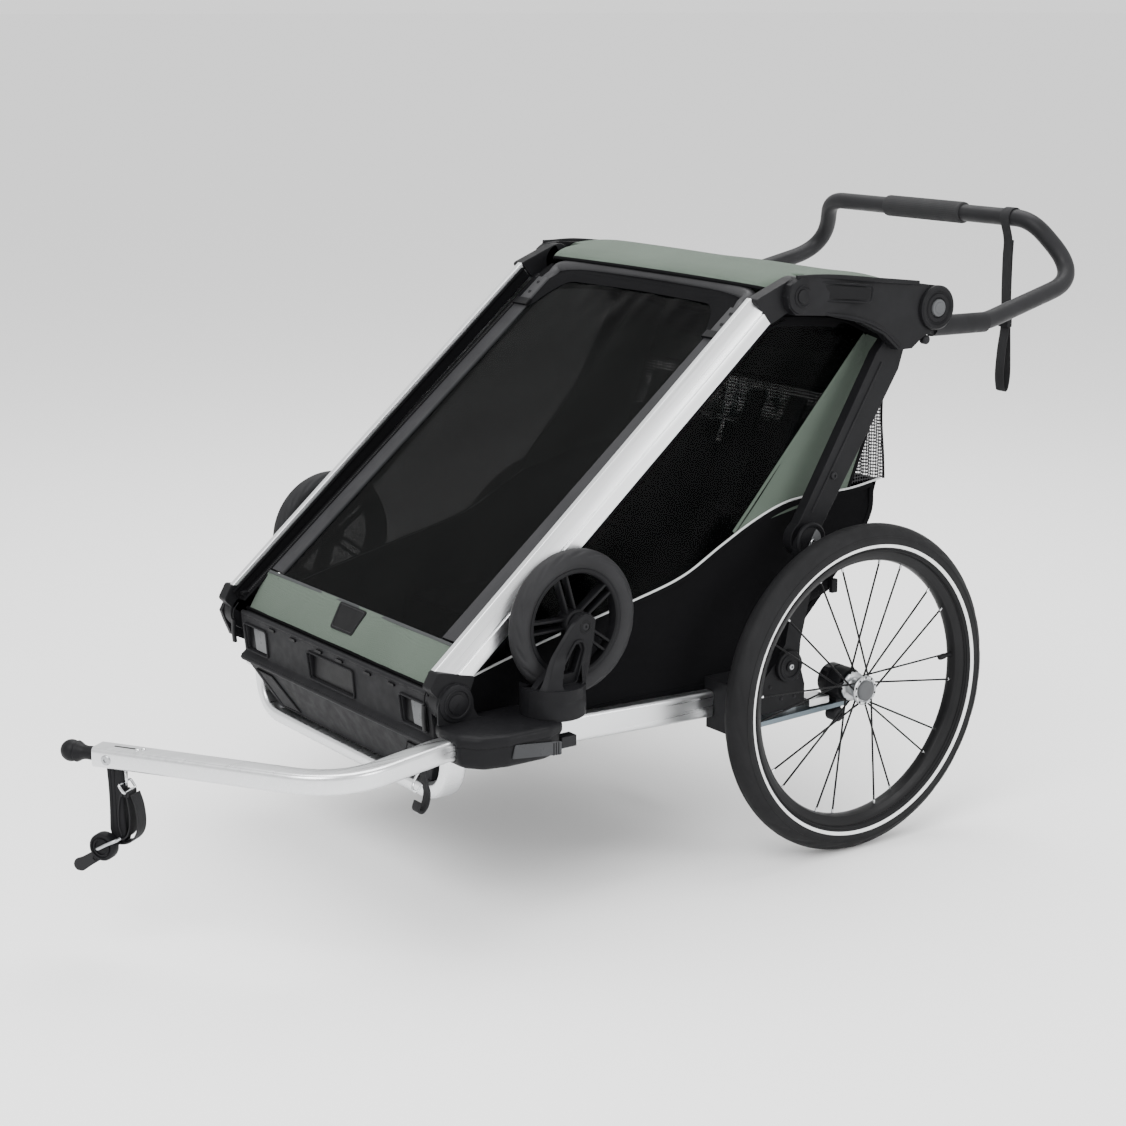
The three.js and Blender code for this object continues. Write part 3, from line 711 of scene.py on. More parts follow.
def prism(under, over):
    """A closed form between two outlines with the same number of points."""
    n = len(under)
    faces = [tuple(range(n)), tuple(range(n, 2 * n))]
    faces += [(i, (i + 1) % n, n + (i + 1) % n, n + i) for i in range(n)]
    return Shape(under + over, faces)


def plate(outline, low, high, axis="x"):
    """An outline extruded along an axis; it is (y, z) for x, (x, z) for y and (x, y) for z."""
    k = "xyz".index(axis)
    return prism(*[[(*p[:k], level, *p[k:]) for p in outline] for level in (low, high)])


def box(x0, x1, y0, y1, z0, z1):
    return plate([(x0, y0), (x1, y0), (x1, y1), (x0, y1)], z0, z1, "z")


def inside(point, outline):
    """Whether a point lies within an outline."""
    x, y = point
    crossings = 0
    for (ax, ay), (bx, by) in zip(outline, outline[1:] + outline[:1]):
        if (ay > y) != (by > y) and x < (bx - ax) * (y - ay) / (by - ay) + ax:
            crossings += 1
    return crossings % 2 == 1


def two_sided(outer, inner, across, along, skip=None):
    """A closed sheet from two grids of points, listed column by column; skip says which cells are open."""
    w, n = along + 1, len(outer)
    faces = []
    for i in range(across):
        for j in range(along):
            if skip and skip((i + 0.5) / across, (j + 0.5) / along):
                continue
            a, b, c, d = i * w + j, (i + 1) * w + j, (i + 1) * w + j + 1, i * w + j + 1
            faces += [(a, b, c, d), (n + a, n + d, n + c, n + b)]
    rim = [*range(w)] + [i * w + along for i in range(1, across + 1)]
    rim += [across * w + j for j in range(along - 1, -1, -1)] + [i * w for i in range(across - 1, 0, -1)]
    faces += [(here, after, n + after, n + here) for here, after in zip(rim, rim[1:] + rim[:1])]
    return Shape(outer + inner, faces)


def cloth(surface, across, along, thickness, flip=False, skip=None):
    """A sheet of that thickness over surface(u, v), its outer face; skip says which cells are open."""
    grid = [[Vector(surface(i / across, j / along)) for j in range(along + 1)] for i in range(across + 1)]
    outer, inner = [], []
    for i in range(across + 1):
        for j in range(along + 1):
            du = grid[min(i + 1, across)][j] - grid[max(i - 1, 0)][j]
            dv = grid[i][min(j + 1, along)] - grid[i][max(j - 1, 0)]
            normal = du.cross(dv).normalized() * (-1 if flip else 1)
            outer.append(grid[i][j])
            inner.append(grid[i][j] - normal * thickness)
    return two_sided(outer, inner, across, along, skip)


def ripple(x, y, z, size, height, seed=0.0):
    """Smooth creases of about that size and height, in millimetres; the same on every run."""
    return height * noise.noise(Vector((x / size + seed, y / size, z / size - seed)))


def screw(centre, axis, r, height, points=6):
    """A button-head screw with a star or hex recess, standing along axis."""
    head = [(0.01, -1.0), (r, -1.0), (r, height * 0.35), (r * 0.86, height * 0.85), (r * 0.5, height)]
    made = lathe(head + head[-1:], 28)
    recess = [(r * 0.46 * (1 - 0.22 * (k % 2)), height) for k in range(points * 2)]
    n = len(recess)
    ring = [(x, rr * cos(pi * k / points), rr * sin(pi * k / points))
            for x in (height + 0.02, height - 1.6) for k, (rr, _) in enumerate(recess)]
    pit = Shape(ring, [(k, (k + 1) % n, n + (k + 1) % n, n + k) for k in range(n)] + [tuple(range(n, 2 * n))])
    made.faces = [face for face in made.faces if len(face) < 20]
    rim_start = len(made.verts)
    top = [(height, r * 0.5 * cos(pi * k / points), r * 0.5 * sin(pi * k / points)) for k in range(n)]
    made.verts += [Vector(v) for v in top] + [Vector(v) for v in ring[:n]]
    made.faces += [(rim_start + k, rim_start + (k + 1) % n, rim_start + n + (k + 1) % n, rim_start + n + k)
                   for k in range(n)]
    made.add(pit)
    turn = ACROSS.rotation_difference(Vector(axis)).to_matrix().to_4x4()
    return made.moved(Matrix.Translation(Vector(centre)) @ turn)


PILLAR_RUN = dist(FRONT_JOINT, TOP_JOINT)
PILLAR_DIR = (Vector(TOP_JOINT) - Vector(FRONT_JOINT)) / PILLAR_RUN


def on_pillar(along, above):
    """(y, z) at a distance up the line of the front pillars and a height square to it."""
    return Vector((FRONT_JOINT[0] + PILLAR_DIR.x * along - PILLAR_DIR.y * above,
                   FRONT_JOINT[1] + PILLAR_DIR.y * along + PILLAR_DIR.x * above))


def up_pillar(x, above, places):
    """Points at x and one height over the pillars' line, at each distance up it."""
    return [(x, *on_pillar(along, above)) for along in places]


# ---------- frame and running gear ----------
def seen_disc(y, z, r, low, high, soft=1.2, sides=48):
    """A flat round boss on the trailer's left side, with its outer edge softened."""
    profile = [(r, low), (r, high - soft), (r - 0.3 * soft, high - 0.3 * soft), (r - soft, high)]
    return lathe(profile, sides, ACROSS, (0, y, z))


def seen_ring(y, z, outer, inner, low, high, soft=0.8, sides=48):
    profile = [(inner, low), (outer, low), (outer, high - soft), (outer - soft, high), (inner + soft, high),
               (inner, high - soft)]
    return lathe(profile, sides, ACROSS, (0, y, z), closed=True)


def build_rails():
    rail = ribbon(22, 40, 7, [(293.5, -668, 263), (293.5, -450, 254.8), (293.5, -218, 246)])
    pair("side_rail_tube", rail, "silver", "chassis", ["SIDE_side_rail"])
    path = cornered([(266, -652, 240), (266, -652, 179), (-266, -652, 179), (-266, -652, 240)], 60, 12)
    bar = ribbon(36, 21, 8, path, across=(0, 1, 0))
    piece("front_cross_tube", bar, "silver", "chassis", ["front_cross_bar"])
    beam = lathe([(12, -282), (15, -279), (15, 279), (12, 282)], 40, ACROSS, (0, -136, 246))
    beam.add(*[plate(rounded([(-150, 188), (-122, 188), (-122, 246), (-150, 246)], 8), x, x + 14)
               for x in (-84, 70)])
    piece("rear_cross_tube", beam, "black", "chassis", ["rear_cross_beam"])


def build_brake():
    bar = wire(6, cornered([(-60, -128, 196), (-60, -40, 176), (60, -40, 176), (60, -128, 196)], 20), 20)
    eye = lathe([(7, -66), (9, -64), (9, 64), (7, 66)], 28, ACROSS, (0, -136, 198))
    tread = ribbon(20, 12, 4, [(-46, -41, 177), (46, -41, 177)], across=(0, 1, 0))
    ridges = [ribbon(16, 3, 1, [(x, -41, 183), (x + 3, -41, 183)], 2, across=(0, 1, 0))
              for x in range(-40, 41, 10)]
    piece("brake_pedal_bar", bar.add(eye, tread, *ridges), "charcoal", "brake_pedal", ["parking_brake_pedal"])


def build_suspension():
    refined_pair("rear_bracket", "black", "bracket_moulding", bevel=1.6)
    refined_pair("leaf_spring", "slate", "spring_leaf", bevel=0.9)
    y, z = -107, 296
    pedestal = seen_disc(y, z, 24.5, 342, 349, 2.5)
    pedestal.add(seen_ring(y, z, 20, 16, 348, 350.5), seen_disc(y, z, 8.5, 348, 351.5))
    pair("pedestal_cap", pedestal, "black", "chassis")
    pair("pedestal_screw", screw((351, y, z), ACROSS, 4.5, 1.8), "steel", "chassis")
    rivets = [lathe([(0.1, 0), (3, 0), (2.4, 1.4), (1, 2)], 16, ACROSS, (342, py, pz))
              for py, pz in ((-92, 246), (-118, 246), (-140, 268), (-88, 274))]
    pair("bracket_rivets", Shape().add(*rivets), "charcoal", "chassis")
    clamp = box(318, 350, -68, -28, 226, 238)
    pair("spring_clamp", clamp, "silver", "chassis", bevel=2.0)
    housing = lathe([(20, 318), (25, 319), (26, 321), (26, 336), (24.4, 337), (24.4, 342), (26, 343),
                     (26, 361), (24, 365), (17, 365), (16, 362), (7, 362)], 56, ACROSS, (0, 0, AXLE_Z))
    pair("housing_shell", housing, "black", "chassis", ["SIDE_axle_housing"])
    window = box(326, 338, -20, -6, AXLE_Z + 17, AXLE_Z + 25)
    saddle = box(320, 352, -16, 16, 223, 234)
    roller = lathe([(9, 332), (11, 334), (11, 352), (9, 354), (6, 354), (5, 351)], 32, ACROSS, (0, -10, 204))
    hanger = box(336, 350, -17, -3, 203, 216)
    pair("housing_seat", saddle.add(window, hanger), "black", "chassis", bevel=1.5)
    pair("spring_roller", roller, "charcoal", "chassis")
    pocket = cloth(lambda u, v: (286 + 7 * arch(u) * arch(v),
                                 -78 + 104 * u, 400 - 4 * u + (v - 1) * (38 - 24 * u * u)), 24, 10, 2.0)
    for made in pair("side_pocket", pocket, "black_cloth", "chassis"):
        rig.sheet(made, (0.104, 0.038), "gathered", ["left_side_cloth", "right_side_cloth"])
    pair("pocket_buckle", box(287, 295, 22, 34, 377, 399), "black", "chassis", bevel=2.0)


def stacked(outline, levels):
    """A closed form from one outline in (x, y), drawn in by so many millimetres at each height."""
    rings = []
    count = len(outline)
    middle = sum((Vector(p) for p in outline), Vector((0, 0))) / count
    for inset, z in levels:
        for p in outline:
            p = Vector(p)
            toward = (middle - p).normalized() * inset
            rings.append((p.x + toward.x, p.y + toward.y, z))
    faces = []
    for k in range(len(levels) - 1):
        start, ahead = k * count, (k + 1) * count
        faces += [(start + i, start + (i + 1) % count, ahead + (i + 1) % count, ahead + i)
                  for i in range(count)]
    faces += [tuple(range(count)), tuple(range(len(rings) - count, len(rings)))]
    return Shape(rings, faces)


def build_docks():
    slab = [(284, -694), (318, -708), (362, -707), (388, -688), (400, -648), (400, -580), (388, -552),
            (345, -530), (308, -534), (284, -560)]
    body = [(307, -704), (362, -704), (386, -686), (398, -648), (398, -582), (386, -556), (345, -534),
            (307, -540)]
    rim = [tuple(p) for p in rounded(slab, 24, 8)]
    base = [tuple(p) for p in rounded(body, 20, 8)]
    top = stacked(rim, [(2, 290), (0.4, 291), (0, 293), (0, 299), (1, 302.5), (4, 304.6), (12, 305.8),
                        (40, 307)])
    under = stacked(base, [(16, 258), (8, 259.5), (3, 262), (1, 266), (0, 272), (0, 291)])
    piece("left_dock_moulding", top.add(under), "black", "chassis", ["left_wheel_dock"], smooth=50)
    refined("right_wheel_dock", "black", "right_dock_moulding", bevel=2.4, steps=4)
    refined_pair("dock_button", "charcoal", "release_button", bevel=1.2)
    lens = plate(rounded([(-644, 272), (-563, 263), (-563, 282), (-639, 291)], 2.5), 398.6, 400.6)
    ribs = Shape().add(*[plate([(y, 264), (y + 1.4, 264), (y + 1.4, 282), (y, 282)], 399, 401.2)
                         for y in (-577, -573, -569)])
    piece("dock_reflector", lens, "lens", "chassis", bevel=0.6)
    piece("reflector_ribs", ribs, "black", "chassis", bevel=0.3)
    y, z = FRONT_JOINT
    cheek = [(y - 29, z - 28), (y - 29, z), (y - 20, z + 20), (y, z + 28.5), (y + 20, z + 20),
             (y + 28, z + 2), (y + 29, z - 12), (y + 36, z - 24), (y + 46, z - 28)]
    piece("left_joint_cheek", plate(rounded(cheek, 5), 308, 311.5), "black", "chassis", bevel=1.4)
    cap = seen_disc(y, z, 26.5, 308, 314.5, 2.2)
    cap.add(seen_ring(y, z, 21, 18, 313, 316.2), seen_disc(y, z, 14.5, 313, 316.5, 2.0))
    pair("joint_cap", cap, "black", "chassis")
    turn = Matrix.Translation((0, y, z)) @ Matrix.Rotation(radians(-35), 4, "X")
    pair("joint_mark", box(315.4, 316.9, -1.2, 1.2, -14, 2).moved(turn), "label", "chassis", bevel=0.3)


def build_bumper():
    refined("front_bumper", "bumper", "bumper_moulding", bevel=1.6)
    lip = wire(3.2, [(x, -692.5 - 1.5 * cos(x * pi / 544), 266) for x in range(-270, 271, 10)], 14)
    top = wire(3.6, [(x, -690, 338) for x in range(-268, 269, 8)], 14)
    piece("bumper_edges", lip.add(top), "bumper", "chassis")
    for x0, x1, name in ((-258, -196, "right"), (-62, 62, "middle"), (196, 258, "left")):
        wall = plate(rounded([(x0 + 0.6, 282.6), (x1 - 0.6, 282.6), (x1 - 0.6, 319.4), (x0 + 0.6, 319.4)], 2),
                     -684, -681.2, "y")
        piece(f"{name}_pocket_wall", wall, "label", "chassis")
        rim = [(x0 - 2, 280), (x1 + 2, 280), (x1 + 4, 322), (x0 - 4, 322)]
        line = [Vector((x, -688.2 - 0.1 * (z - 280), z)) for x, z in rounded(rim, 5)]
        piece(f"{name}_pocket_rim", wire(1.6, line, 10, closed=True), "bumper", "chassis")
        if name != "middle":
            inner = x0 + 26 if x0 > 0 else x0 + 24
            shape = [(inner, 284), (x1 - 3, 284), (x1 - 3, 317), (inner - 8, 317)]
            lens = plate(rounded(shape, 3), -686.5, -683.4, "y")
            piece(f"{name}_bumper_reflector", lens, "reflector", "chassis", bevel=0.5)
    slots = [plate(rounded([(x - 9, 327.5), (x + 9, 327.5), (x + 9, 331.5), (x - 9, 331.5)], 1.8), -694.2,
                   -690, "y") for x in (-172, -108, -30, 30, 108, 172)]
    piece("bumper_slots", Shape().add(*slots), "label", "chassis")

    def low_panel(x, down):
        return Vector((x, -683.6 + 27 * down, 256 - 65 * down))

    for name, side in zip(SIDES, (1, -1)):
        corners = [(side * 243, 0.08), (side * 196, 0.1), (side * 146, 0.86), (side * 200, 0.9)]
        outline = [low_panel(x, down) for x, down in corners]
        out = Vector((0, -0.92, -0.38))
        mesh = prism([p + out * 0.2 for p in outline], [p + out * 1.1 for p in outline])
        piece(f"{name}_drain_mesh", mesh, "zip", "chassis")
        edge = [p + out for p in outline]
        piece(f"{name}_drain_frame", wire(1.5, edge, 10, closed=True), "bumper", "chassis")


def build_pillars():
    low, high = 3, 49
    corners = [(-11, low), (11, low), (11, 23), (8.6, 23.8), (8.6, 25.4), (10.6, 26.4), (-1.5, high),
               (-11, high)]
    section = [tuple(p) for p in rounded(corners, 1.4, 3)]
    tube = sweep(section, up_pillar(295, 0, (46, 250, 500, 728)), ACROSS)
    for i, (_, above) in enumerate(section):
        tube.verts[i] -= Vector((0, *(PILLAR_DIR * (above - low) * 0.74)))
    pair("pillar_tube", tube, "pillar_silver", "front_frame", ["SIDE_front_pillar"])
    y, z = FRONT_JOINT
    neck = [on_pillar(-4, -26), on_pillar(48, 1.5), on_pillar(11, 51), on_pillar(-14, 42), (y - 24, z + 8)]
    foot = plate(rounded(neck, 6), 284, 306.4).add(seen_disc(y, z, 28, 284, 307.7, 2.5))
    pair("pillar_foot_moulding", foot, "black", "front_frame", ["SIDE_pillar_foot"], bevel=2.2)
    eye = seen_disc(*TOP_JOINT, 27, 284, 308.7, 2.5)
    neck = plate(rounded([on_pillar(724, 1), on_pillar(790, -16), on_pillar(800, 24), on_pillar(724, 50)],
                         6), 284, 306.4)
    pair("pillar_head", neck.add(eye), "black", "front_frame", bevel=2.0)
    leg_x = 243
    ends = up_pillar(leg_x, 13, (690, 712))
    ends += [(leg_x - 5, *on_pillar(738, 13)), (leg_x - 28, *on_pillar(765, 12))]
    line = ends + [(0, *on_pillar(774, 11))] + [(-x, y, z) for x, y, z in reversed(ends)]
    piece("bow_tube", wire(11.5, curve(line, 120), 24), "bow", "front_frame", ["front_bow"])
    run = [cover_point(leg_x, a, 1.5) for a in (70, 250, 450, 670)]
    pair("bow_leg", ribbon(34, 6, 2.6, run, 4), "leg", "front_frame")
    bracket = ribbon(28, 9, 3.5, [cover_point(leg_x, a, 3) for a in (674, 700, 726)], 4)
    pair("bow_bracket", bracket, "bow", "front_frame")
    out = Vector((0, -PILLAR_DIR.y, PILLAR_DIR.x))
    bolts = Shape().add(*[screw(cover_point(leg_x, a, 7), out, 3.4, 1.6) for a in (692, 714)])
    pair("bow_bolts", bolts, "charcoal", "front_frame")
    clip = ribbon(38, 13, 2.5, [cover_point(leg_x, a, 2.5) for a in (664, 677)])
    pair("bow_clip", clip, "label", "front_frame")


def pod_inset(y):
    """How far the pod's outer face leans in towards its front end."""
    return 30 * eased((50 - y) / 120)


def leaned(shape, low=0):
    """The same shape with the pod's lean; nothing nearer to the middle than low moves."""
    return Shape([v - ACROSS * (pod_inset(v.y) if v.x > low else 0) for v in shape.verts], shape.faces)


def build_pods():
    mouldings = refined_pair("pod", "black", "pod_moulding", bevel=3.2, steps=4, outer_only=True)
    for side, made in zip((1, -1), mouldings):
        for v in made.data.vertices:
            reach = abs(v.co.x) / MM
            if reach > 331:
                v.co.x -= side * pod_inset((v.co.y - AXLE_Y) / MM) * MM
    label = rounded([(-62, 862), (38, 851), (35, 827), (-54, 834)], 6)
    inner = rounded([(-57, 858), (33.5, 848), (31, 830.5), (-50.5, 837)], 5)
    pair("pod_label", leaned(plate(inner, 347, 348.8)), "label", "upper_frame", bevel=0.4)
    frame_line = [Vector((348, y, z)) for y, z in label]
    pair("pod_label_rim", leaned(wire(1.5, frame_line, 10, closed=True)), "black", "upper_frame")
    brow = curve([(346, -84, 868), (347, -20, 866.5), (347, 60, 857.5), (347, 130, 849)], 40)
    pair("pod_brow", leaned(ribbon(5, 7, 2.3, brow)), "black", "upper_frame")
    fold = curve([(347.4, -48, 815), (347.4, 10, 805), (347.4, 60, 785), (347.4, 96, 757)], 40)
    pair("pod_fold", leaned(ribbon(4, 5, 1.9, fold)), "black", "upper_frame")
    y, z = TOP_JOINT
    cap = seen_disc(y, z, 26.5, 343, 351, 3.0)
    cap.add(seen_ring(y, z, 16.5, 13.5, 350, 352.8), seen_disc(y, z, 11, 350, 353, 2.0))
    pair("pod_front_cap", cap.shifted(-pod_inset(y), 0, 0), "black", "upper_frame")
    y, z = GRIP_JOINT
    drum = seen_ring(y, z, 33.5, 24, 349, 356.5, 2.6)
    drum.add(seen_ring(y, z, 22.5, 14.4, 349, 355.4, 1.4))
    pair("pod_drum", drum, "black", "upper_frame")
    refined_pair("pivot_button", "grey", "pivot_cap", bevel=1.8, steps=4)
    dimple = lathe([(0.1, 356), (8.5, 356), (8.5, 358.6), (7.4, 359), (0.1, 358.3)], 36, ACROSS, (0, y, z))
    pair("button_dimple", dimple, "grey", "SIDE_pivot_button")
    knob = lathe([(5, 336), (7, 338), (7, 346), (5, 348)], 24, ACROSS, (0, 152, 762))
    pair("pod_knob", knob, "charcoal", "upper_frame")


def build_links():
    refined_pair("rear_pillar", "black", "link_moulding", bevel=3.0, steps=4)
    run = Vector(POD_REAR) - Vector(REAR_JOINT)
    mid = Vector(REAR_JOINT) + run * 0.31
    pair("link_screw", screw((329.5, mid.x, mid.y), ACROSS, 6, 3), "charcoal", "rear_link")
    normal = Vector((-run.y, run.x)).normalized()
    line = [Vector(REAR_JOINT) + run * t + normal * 9 for t in (0.12, 0.5, 0.86)]
    pair("link_ridge", ribbon(3, 3, 1.4, [(329.4, p.x, p.y) for p in line]), "black", "rear_link")
    y, z = REAR_JOINT
    cap = seen_ring(y, z, 27.5, 20.5, 341.5, 347.5, 2.4)
    cap.add(seen_disc(y, z, 21, 341.5, 344))
    pair("rear_joint_ring", cap, "black", "chassis")
    half = [(y + 19 * cos(a), z + 19 * sin(a)) for a in np.linspace(-2.1, 1.05, 20)]
    pair("rear_joint_plate", plate(half, 343.5, 346), "reflector", "chassis", bevel=0.6)
    pair("rear_joint_screw", screw((345.6, y + 3, z - 2), ACROSS, 4.6, 1.8), "steel", "chassis")


# ---------- handlebar ----------
def build_handlebar():
    y, z = CROSSBAR
    side = [(320, 188, 777), (320, 300, 774), (303, 536, 826), (238, y, z)]
    other = [(-px, py, pz) for px, py, pz in reversed(side)]
    path = spaced(cornered(side + other, [200, 60, 60, 60, 60, 200], 14), 200)
    piece("handlebar_tube", wire(14, path, 28), "bar", "handlebar", ["handlebar"])
    root = plate(rounded([(147, 815), (165, 829), (184, 818), (206, 789), (206, 763), (186, 763),
                          (150, 800)], 7), 311.5, 328.5)
    sleeve = wire(15.6, [(320, 186, 777), (320, 240, 775.6), (320, 300, 774.2)], 28)
    pair("handlebar_root", root, "sleeve", "handlebar", bevel=2.0)
    pair("handlebar_sleeve", sleeve, "sleeve", "handlebar")
    ridges = 36
    section = [((17.3 + 0.5 * (k % 2)) * cos(pi * k / ridges),
                (17.3 + 0.5 * (k % 2)) * sin(pi * k / ridges)) for k in range(2 * ridges)]
    grip = sweep(section, [(x, y, z) for x in (-86, 0, 86)], (0, 1, 0))
    cuffs = [lathe([(14.6, x - 4), (17.4, x - 3), (17.9, x), (17.4, x + 3), (14.6, x + 4)], 40, ACROSS,
                   (0, y, z)) for x in (-85, 85)]
    piece("grip_sleeve", grip.add(*cuffs), "grip", "handlebar", ["centre_grip"])


def build_wrist_strap():
    y, z = CROSSBAR
    wrap = [(y + 15.4 * cos(a), z + 15.4 * sin(a)) for a in np.linspace(-0.5, pi + 0.5, 22)][::-1]
    front = [(y - 4.5, 880), (y - 5, 850), (y - 4.2, 800), (y - 2.2, 742)]
    loop = [(y - 8, 700), (y - 10.6, 660), (y - 7, 636), (y - 3, 632), (y + 1.5, 637), (y + 5, 660),
            (y + 3, 700)]
    back = [(y + 0.2, 742), (y - 1.6, 800), (y - 2, 850), (y - 1, 880)]
    line = curve([(0, *p) for p in wrap[:1] + front + loop + back], 120)
    hanging = ribbon(19, 1.9, 0.8, [p + Vector((STRAP_X, 0, 0)) for p in line], 3)
    ring = ribbon(20, 2.2, 0.8, [(STRAP_X, *p) for p in wrap], 3)
    keeper = box(STRAP_X - 10.5, STRAP_X + 10.5, y - 8, y + 3, 738, 752)
    piece("wrist_webbing", hanging.add(ring), "web_z", "wrist_strap", ["wrist_strap"])
    piece("wrist_keeper", keeper, "black", "wrist_strap", bevel=1.6)


# ---------- wheels ----------
def tyre(centre, radius, section_r, bead, segments, groove_count, groove_depth):
    """A round tyre on the x axis through centre, with slanted grooves cut in its shoulders."""
    major = radius - section_r
    start = acos((bead - major) / section_r)
    steps = 44
    verts = []
    for i in range(segments):
        turn = 2 * pi * i / segments
        ring = []
        for k in range(steps + 1):
            around = start - 2 * start * k / steps
            slant = abs(around) * 1.2
            place = (groove_count * turn / (2 * pi) + slant + (0.5 if around > 0 else 0)) % 1
            in_line = max(0, 1 - abs(place - 0.5) * groove_count * 0.16 * (radius / 100) ** 0.2)
            in_band = max(0, 1 - abs(abs(around) - 0.85) / 0.38)
            dip = groove_depth * min(1, 2.5 * in_line * in_band)
            centre_line = 0.5 * max(0, 1 - abs(around) / 0.06)
            r = section_r - dip - centre_line
            ring.append((r * sin(around), major + r * cos(around)))
        ring += [(-9, bead + 1.5), (9, bead + 1.5)]
        verts += [Vector(centre) + Vector((x, r * sin(turn), r * cos(turn))) for x, r in ring]
    m = steps + 3
    faces = []
    for i in range(segments):
        here, ahead = i * m, ((i + 1) % segments) * m
        faces += [(here + k, here + (k + 1) % m, ahead + (k + 1) % m, ahead + k) for k in range(m)]
    return Shape(verts, faces)


def spoke_end(angle, r, x):
    return Vector((x, r * sin(angle), AXLE_Z + r * cos(angle)))


def build_main_wheels():
    tread = tyre(WHEEL, TYRE_R, TYRE_SECTION, 212, 1080, 26, 1.0)
    pair("tyre", tread, "tyre", "SIDE_wheel", ["SIDE_main_tyre"], smooth=60)

    def wall(r):
        """How far the tyre's side stands off the wheel's middle plane at a radius."""
        return sqrt(TYRE_SECTION ** 2 - (r - TYRE_R + TYRE_SECTION) ** 2)
    low, high = STRIPE_R - 2.4, STRIPE_R + 2.4
    section = [(low, wall(low) + 0.5), (STRIPE_R, wall(STRIPE_R) + 0.6), (high, wall(high) + 0.5),
               (high, 16), (low, 16)]
    for face in (1, -1):
        band = lathe([(r, face * x) for r, x in section], 256, ACROSS, WHEEL, closed=True)
        pair("reflective_band" if face > 0 else "inner_reflective_band", band, "stripe", "SIDE_wheel")
    rings = [lathe([(r - 0.8, 12), (r - 0.8, x), (r + 0.8, x), (r + 0.8, 12)], 256, ACROSS, WHEEL,
                   closed=True) for r, x in ((214.5, 19.6), (234.5, 23.0))]
    pair("tyre_bead_lines", Shape().add(*rings), "tyre", "SIDE_wheel")
    rim = lathe([(212.6, 13.4), (211.6, 14.4), (206.5, 13.4), (203.6, 12.2), (202.6, 11.6), (198.5, 9.4),
                 (196.6, 5.5), (196.2, 0), (196.6, -5.5), (198.5, -9.4), (202.6, -11.6), (203.6, -12.2),
                 (206.5, -13.4), (211.6, -14.4), (212.6, -13.4), (208, -9), (208, 9)], 256, ACROSS, WHEEL,
                closed=True)
    pair("rim_ring", rim, "rim", "SIDE_wheel", ["SIDE_main_rim"], smooth=24)
    spokes, nipples, heads = Shape(), Shape(), Shape()
    for i in range(20):
        near = i % 2 == 0
        flange_x = 396 if near else 371.2
        group = i // 2
        rim_angle = 2 * pi * (group + 0.5) / 10 + (0.105 if near else -0.105)
        cross = 0.62 if group % 2 else -0.62
        hub_angle = rim_angle + cross
        foot = spoke_end(hub_angle, 19.5, flange_x)
        top = spoke_end(rim_angle, 197.5, WHEEL.x + (2.5 if near else -2.5))
        spokes.add(wire(1.5, [foot, top], 8))
        run = (top - foot).normalized()
        nipples.add(wire(1.9, [top - run * 7.5, top - run * 7, top], 10,
                         scale=lambda t: 0.8 if t == 0 else 1))
        heads.add(lathe([(0.01, 0), (1.9, 0), (1.5, 1.3), (0.01, 1.5)], 12, ACROSS if near else -ACROSS,
                        foot + ACROSS * (2.2 if near else -2.2)))
    pair("spoke_set", spokes, "label", "SIDE_wheel", ["SIDE_main_hub"])
    pair("spoke_nipples", nipples.add(heads), "chrome", "SIDE_wheel")
    shell = lathe([(6, 344), (6, 366), (12, 366.5), (12.5, 369), (21, 369.2), (22.5, 370), (22.5, 372),
                   (21, 373.4), (14.5, 375), (12.8, 378), (12.8, 386), (14.5, 389), (21, 393), (22.6, 394),
                   (22.6, 397), (21.4, 398.6), (17.4, 398.8), (16.6, 397.6), (6, 397.4)], 80, ACROSS,
                  (0, 0, AXLE_Z))
    pair("hub_shell", shell, "steel", "SIDE_wheel")
    holes = Shape()
    for k in range(10):
        angle = 2 * pi * k / 10
        for x in (398.5, 372.8):
            hole = [(0.01, 0), (1.7, 0), (1.7, 0.45), (0.01, 0.45)]
            holes.add(lathe(hole, 14, ACROSS, spoke_end(angle, 19.7, x)))
    pair("hub_holes", holes, "label", "SIDE_wheel")
    cap = lathe([(15.4, 396.6), (15.4, 400.4), (14.6, 401.8), (12.4, 402.9), (6, 403.1), (0.1, 403.1)], 56,
                ACROSS, (0, 0, AXLE_Z))
    pair("hub_cap", cap, "grey", "SIDE_hub_button", ["SIDE_hub_button"])
    base = Vector((WHEEL.x, 196, AXLE_Z + 20))
    inward = Vector((0, -1, -0.1)).normalized()
    valve = lathe([(3.4, 0), (3.4, 12), (4.4, 13), (4.6, 22), (3.4, 25)], 20, inward, base)
    pair("valve", valve, "black", "SIDE_wheel")


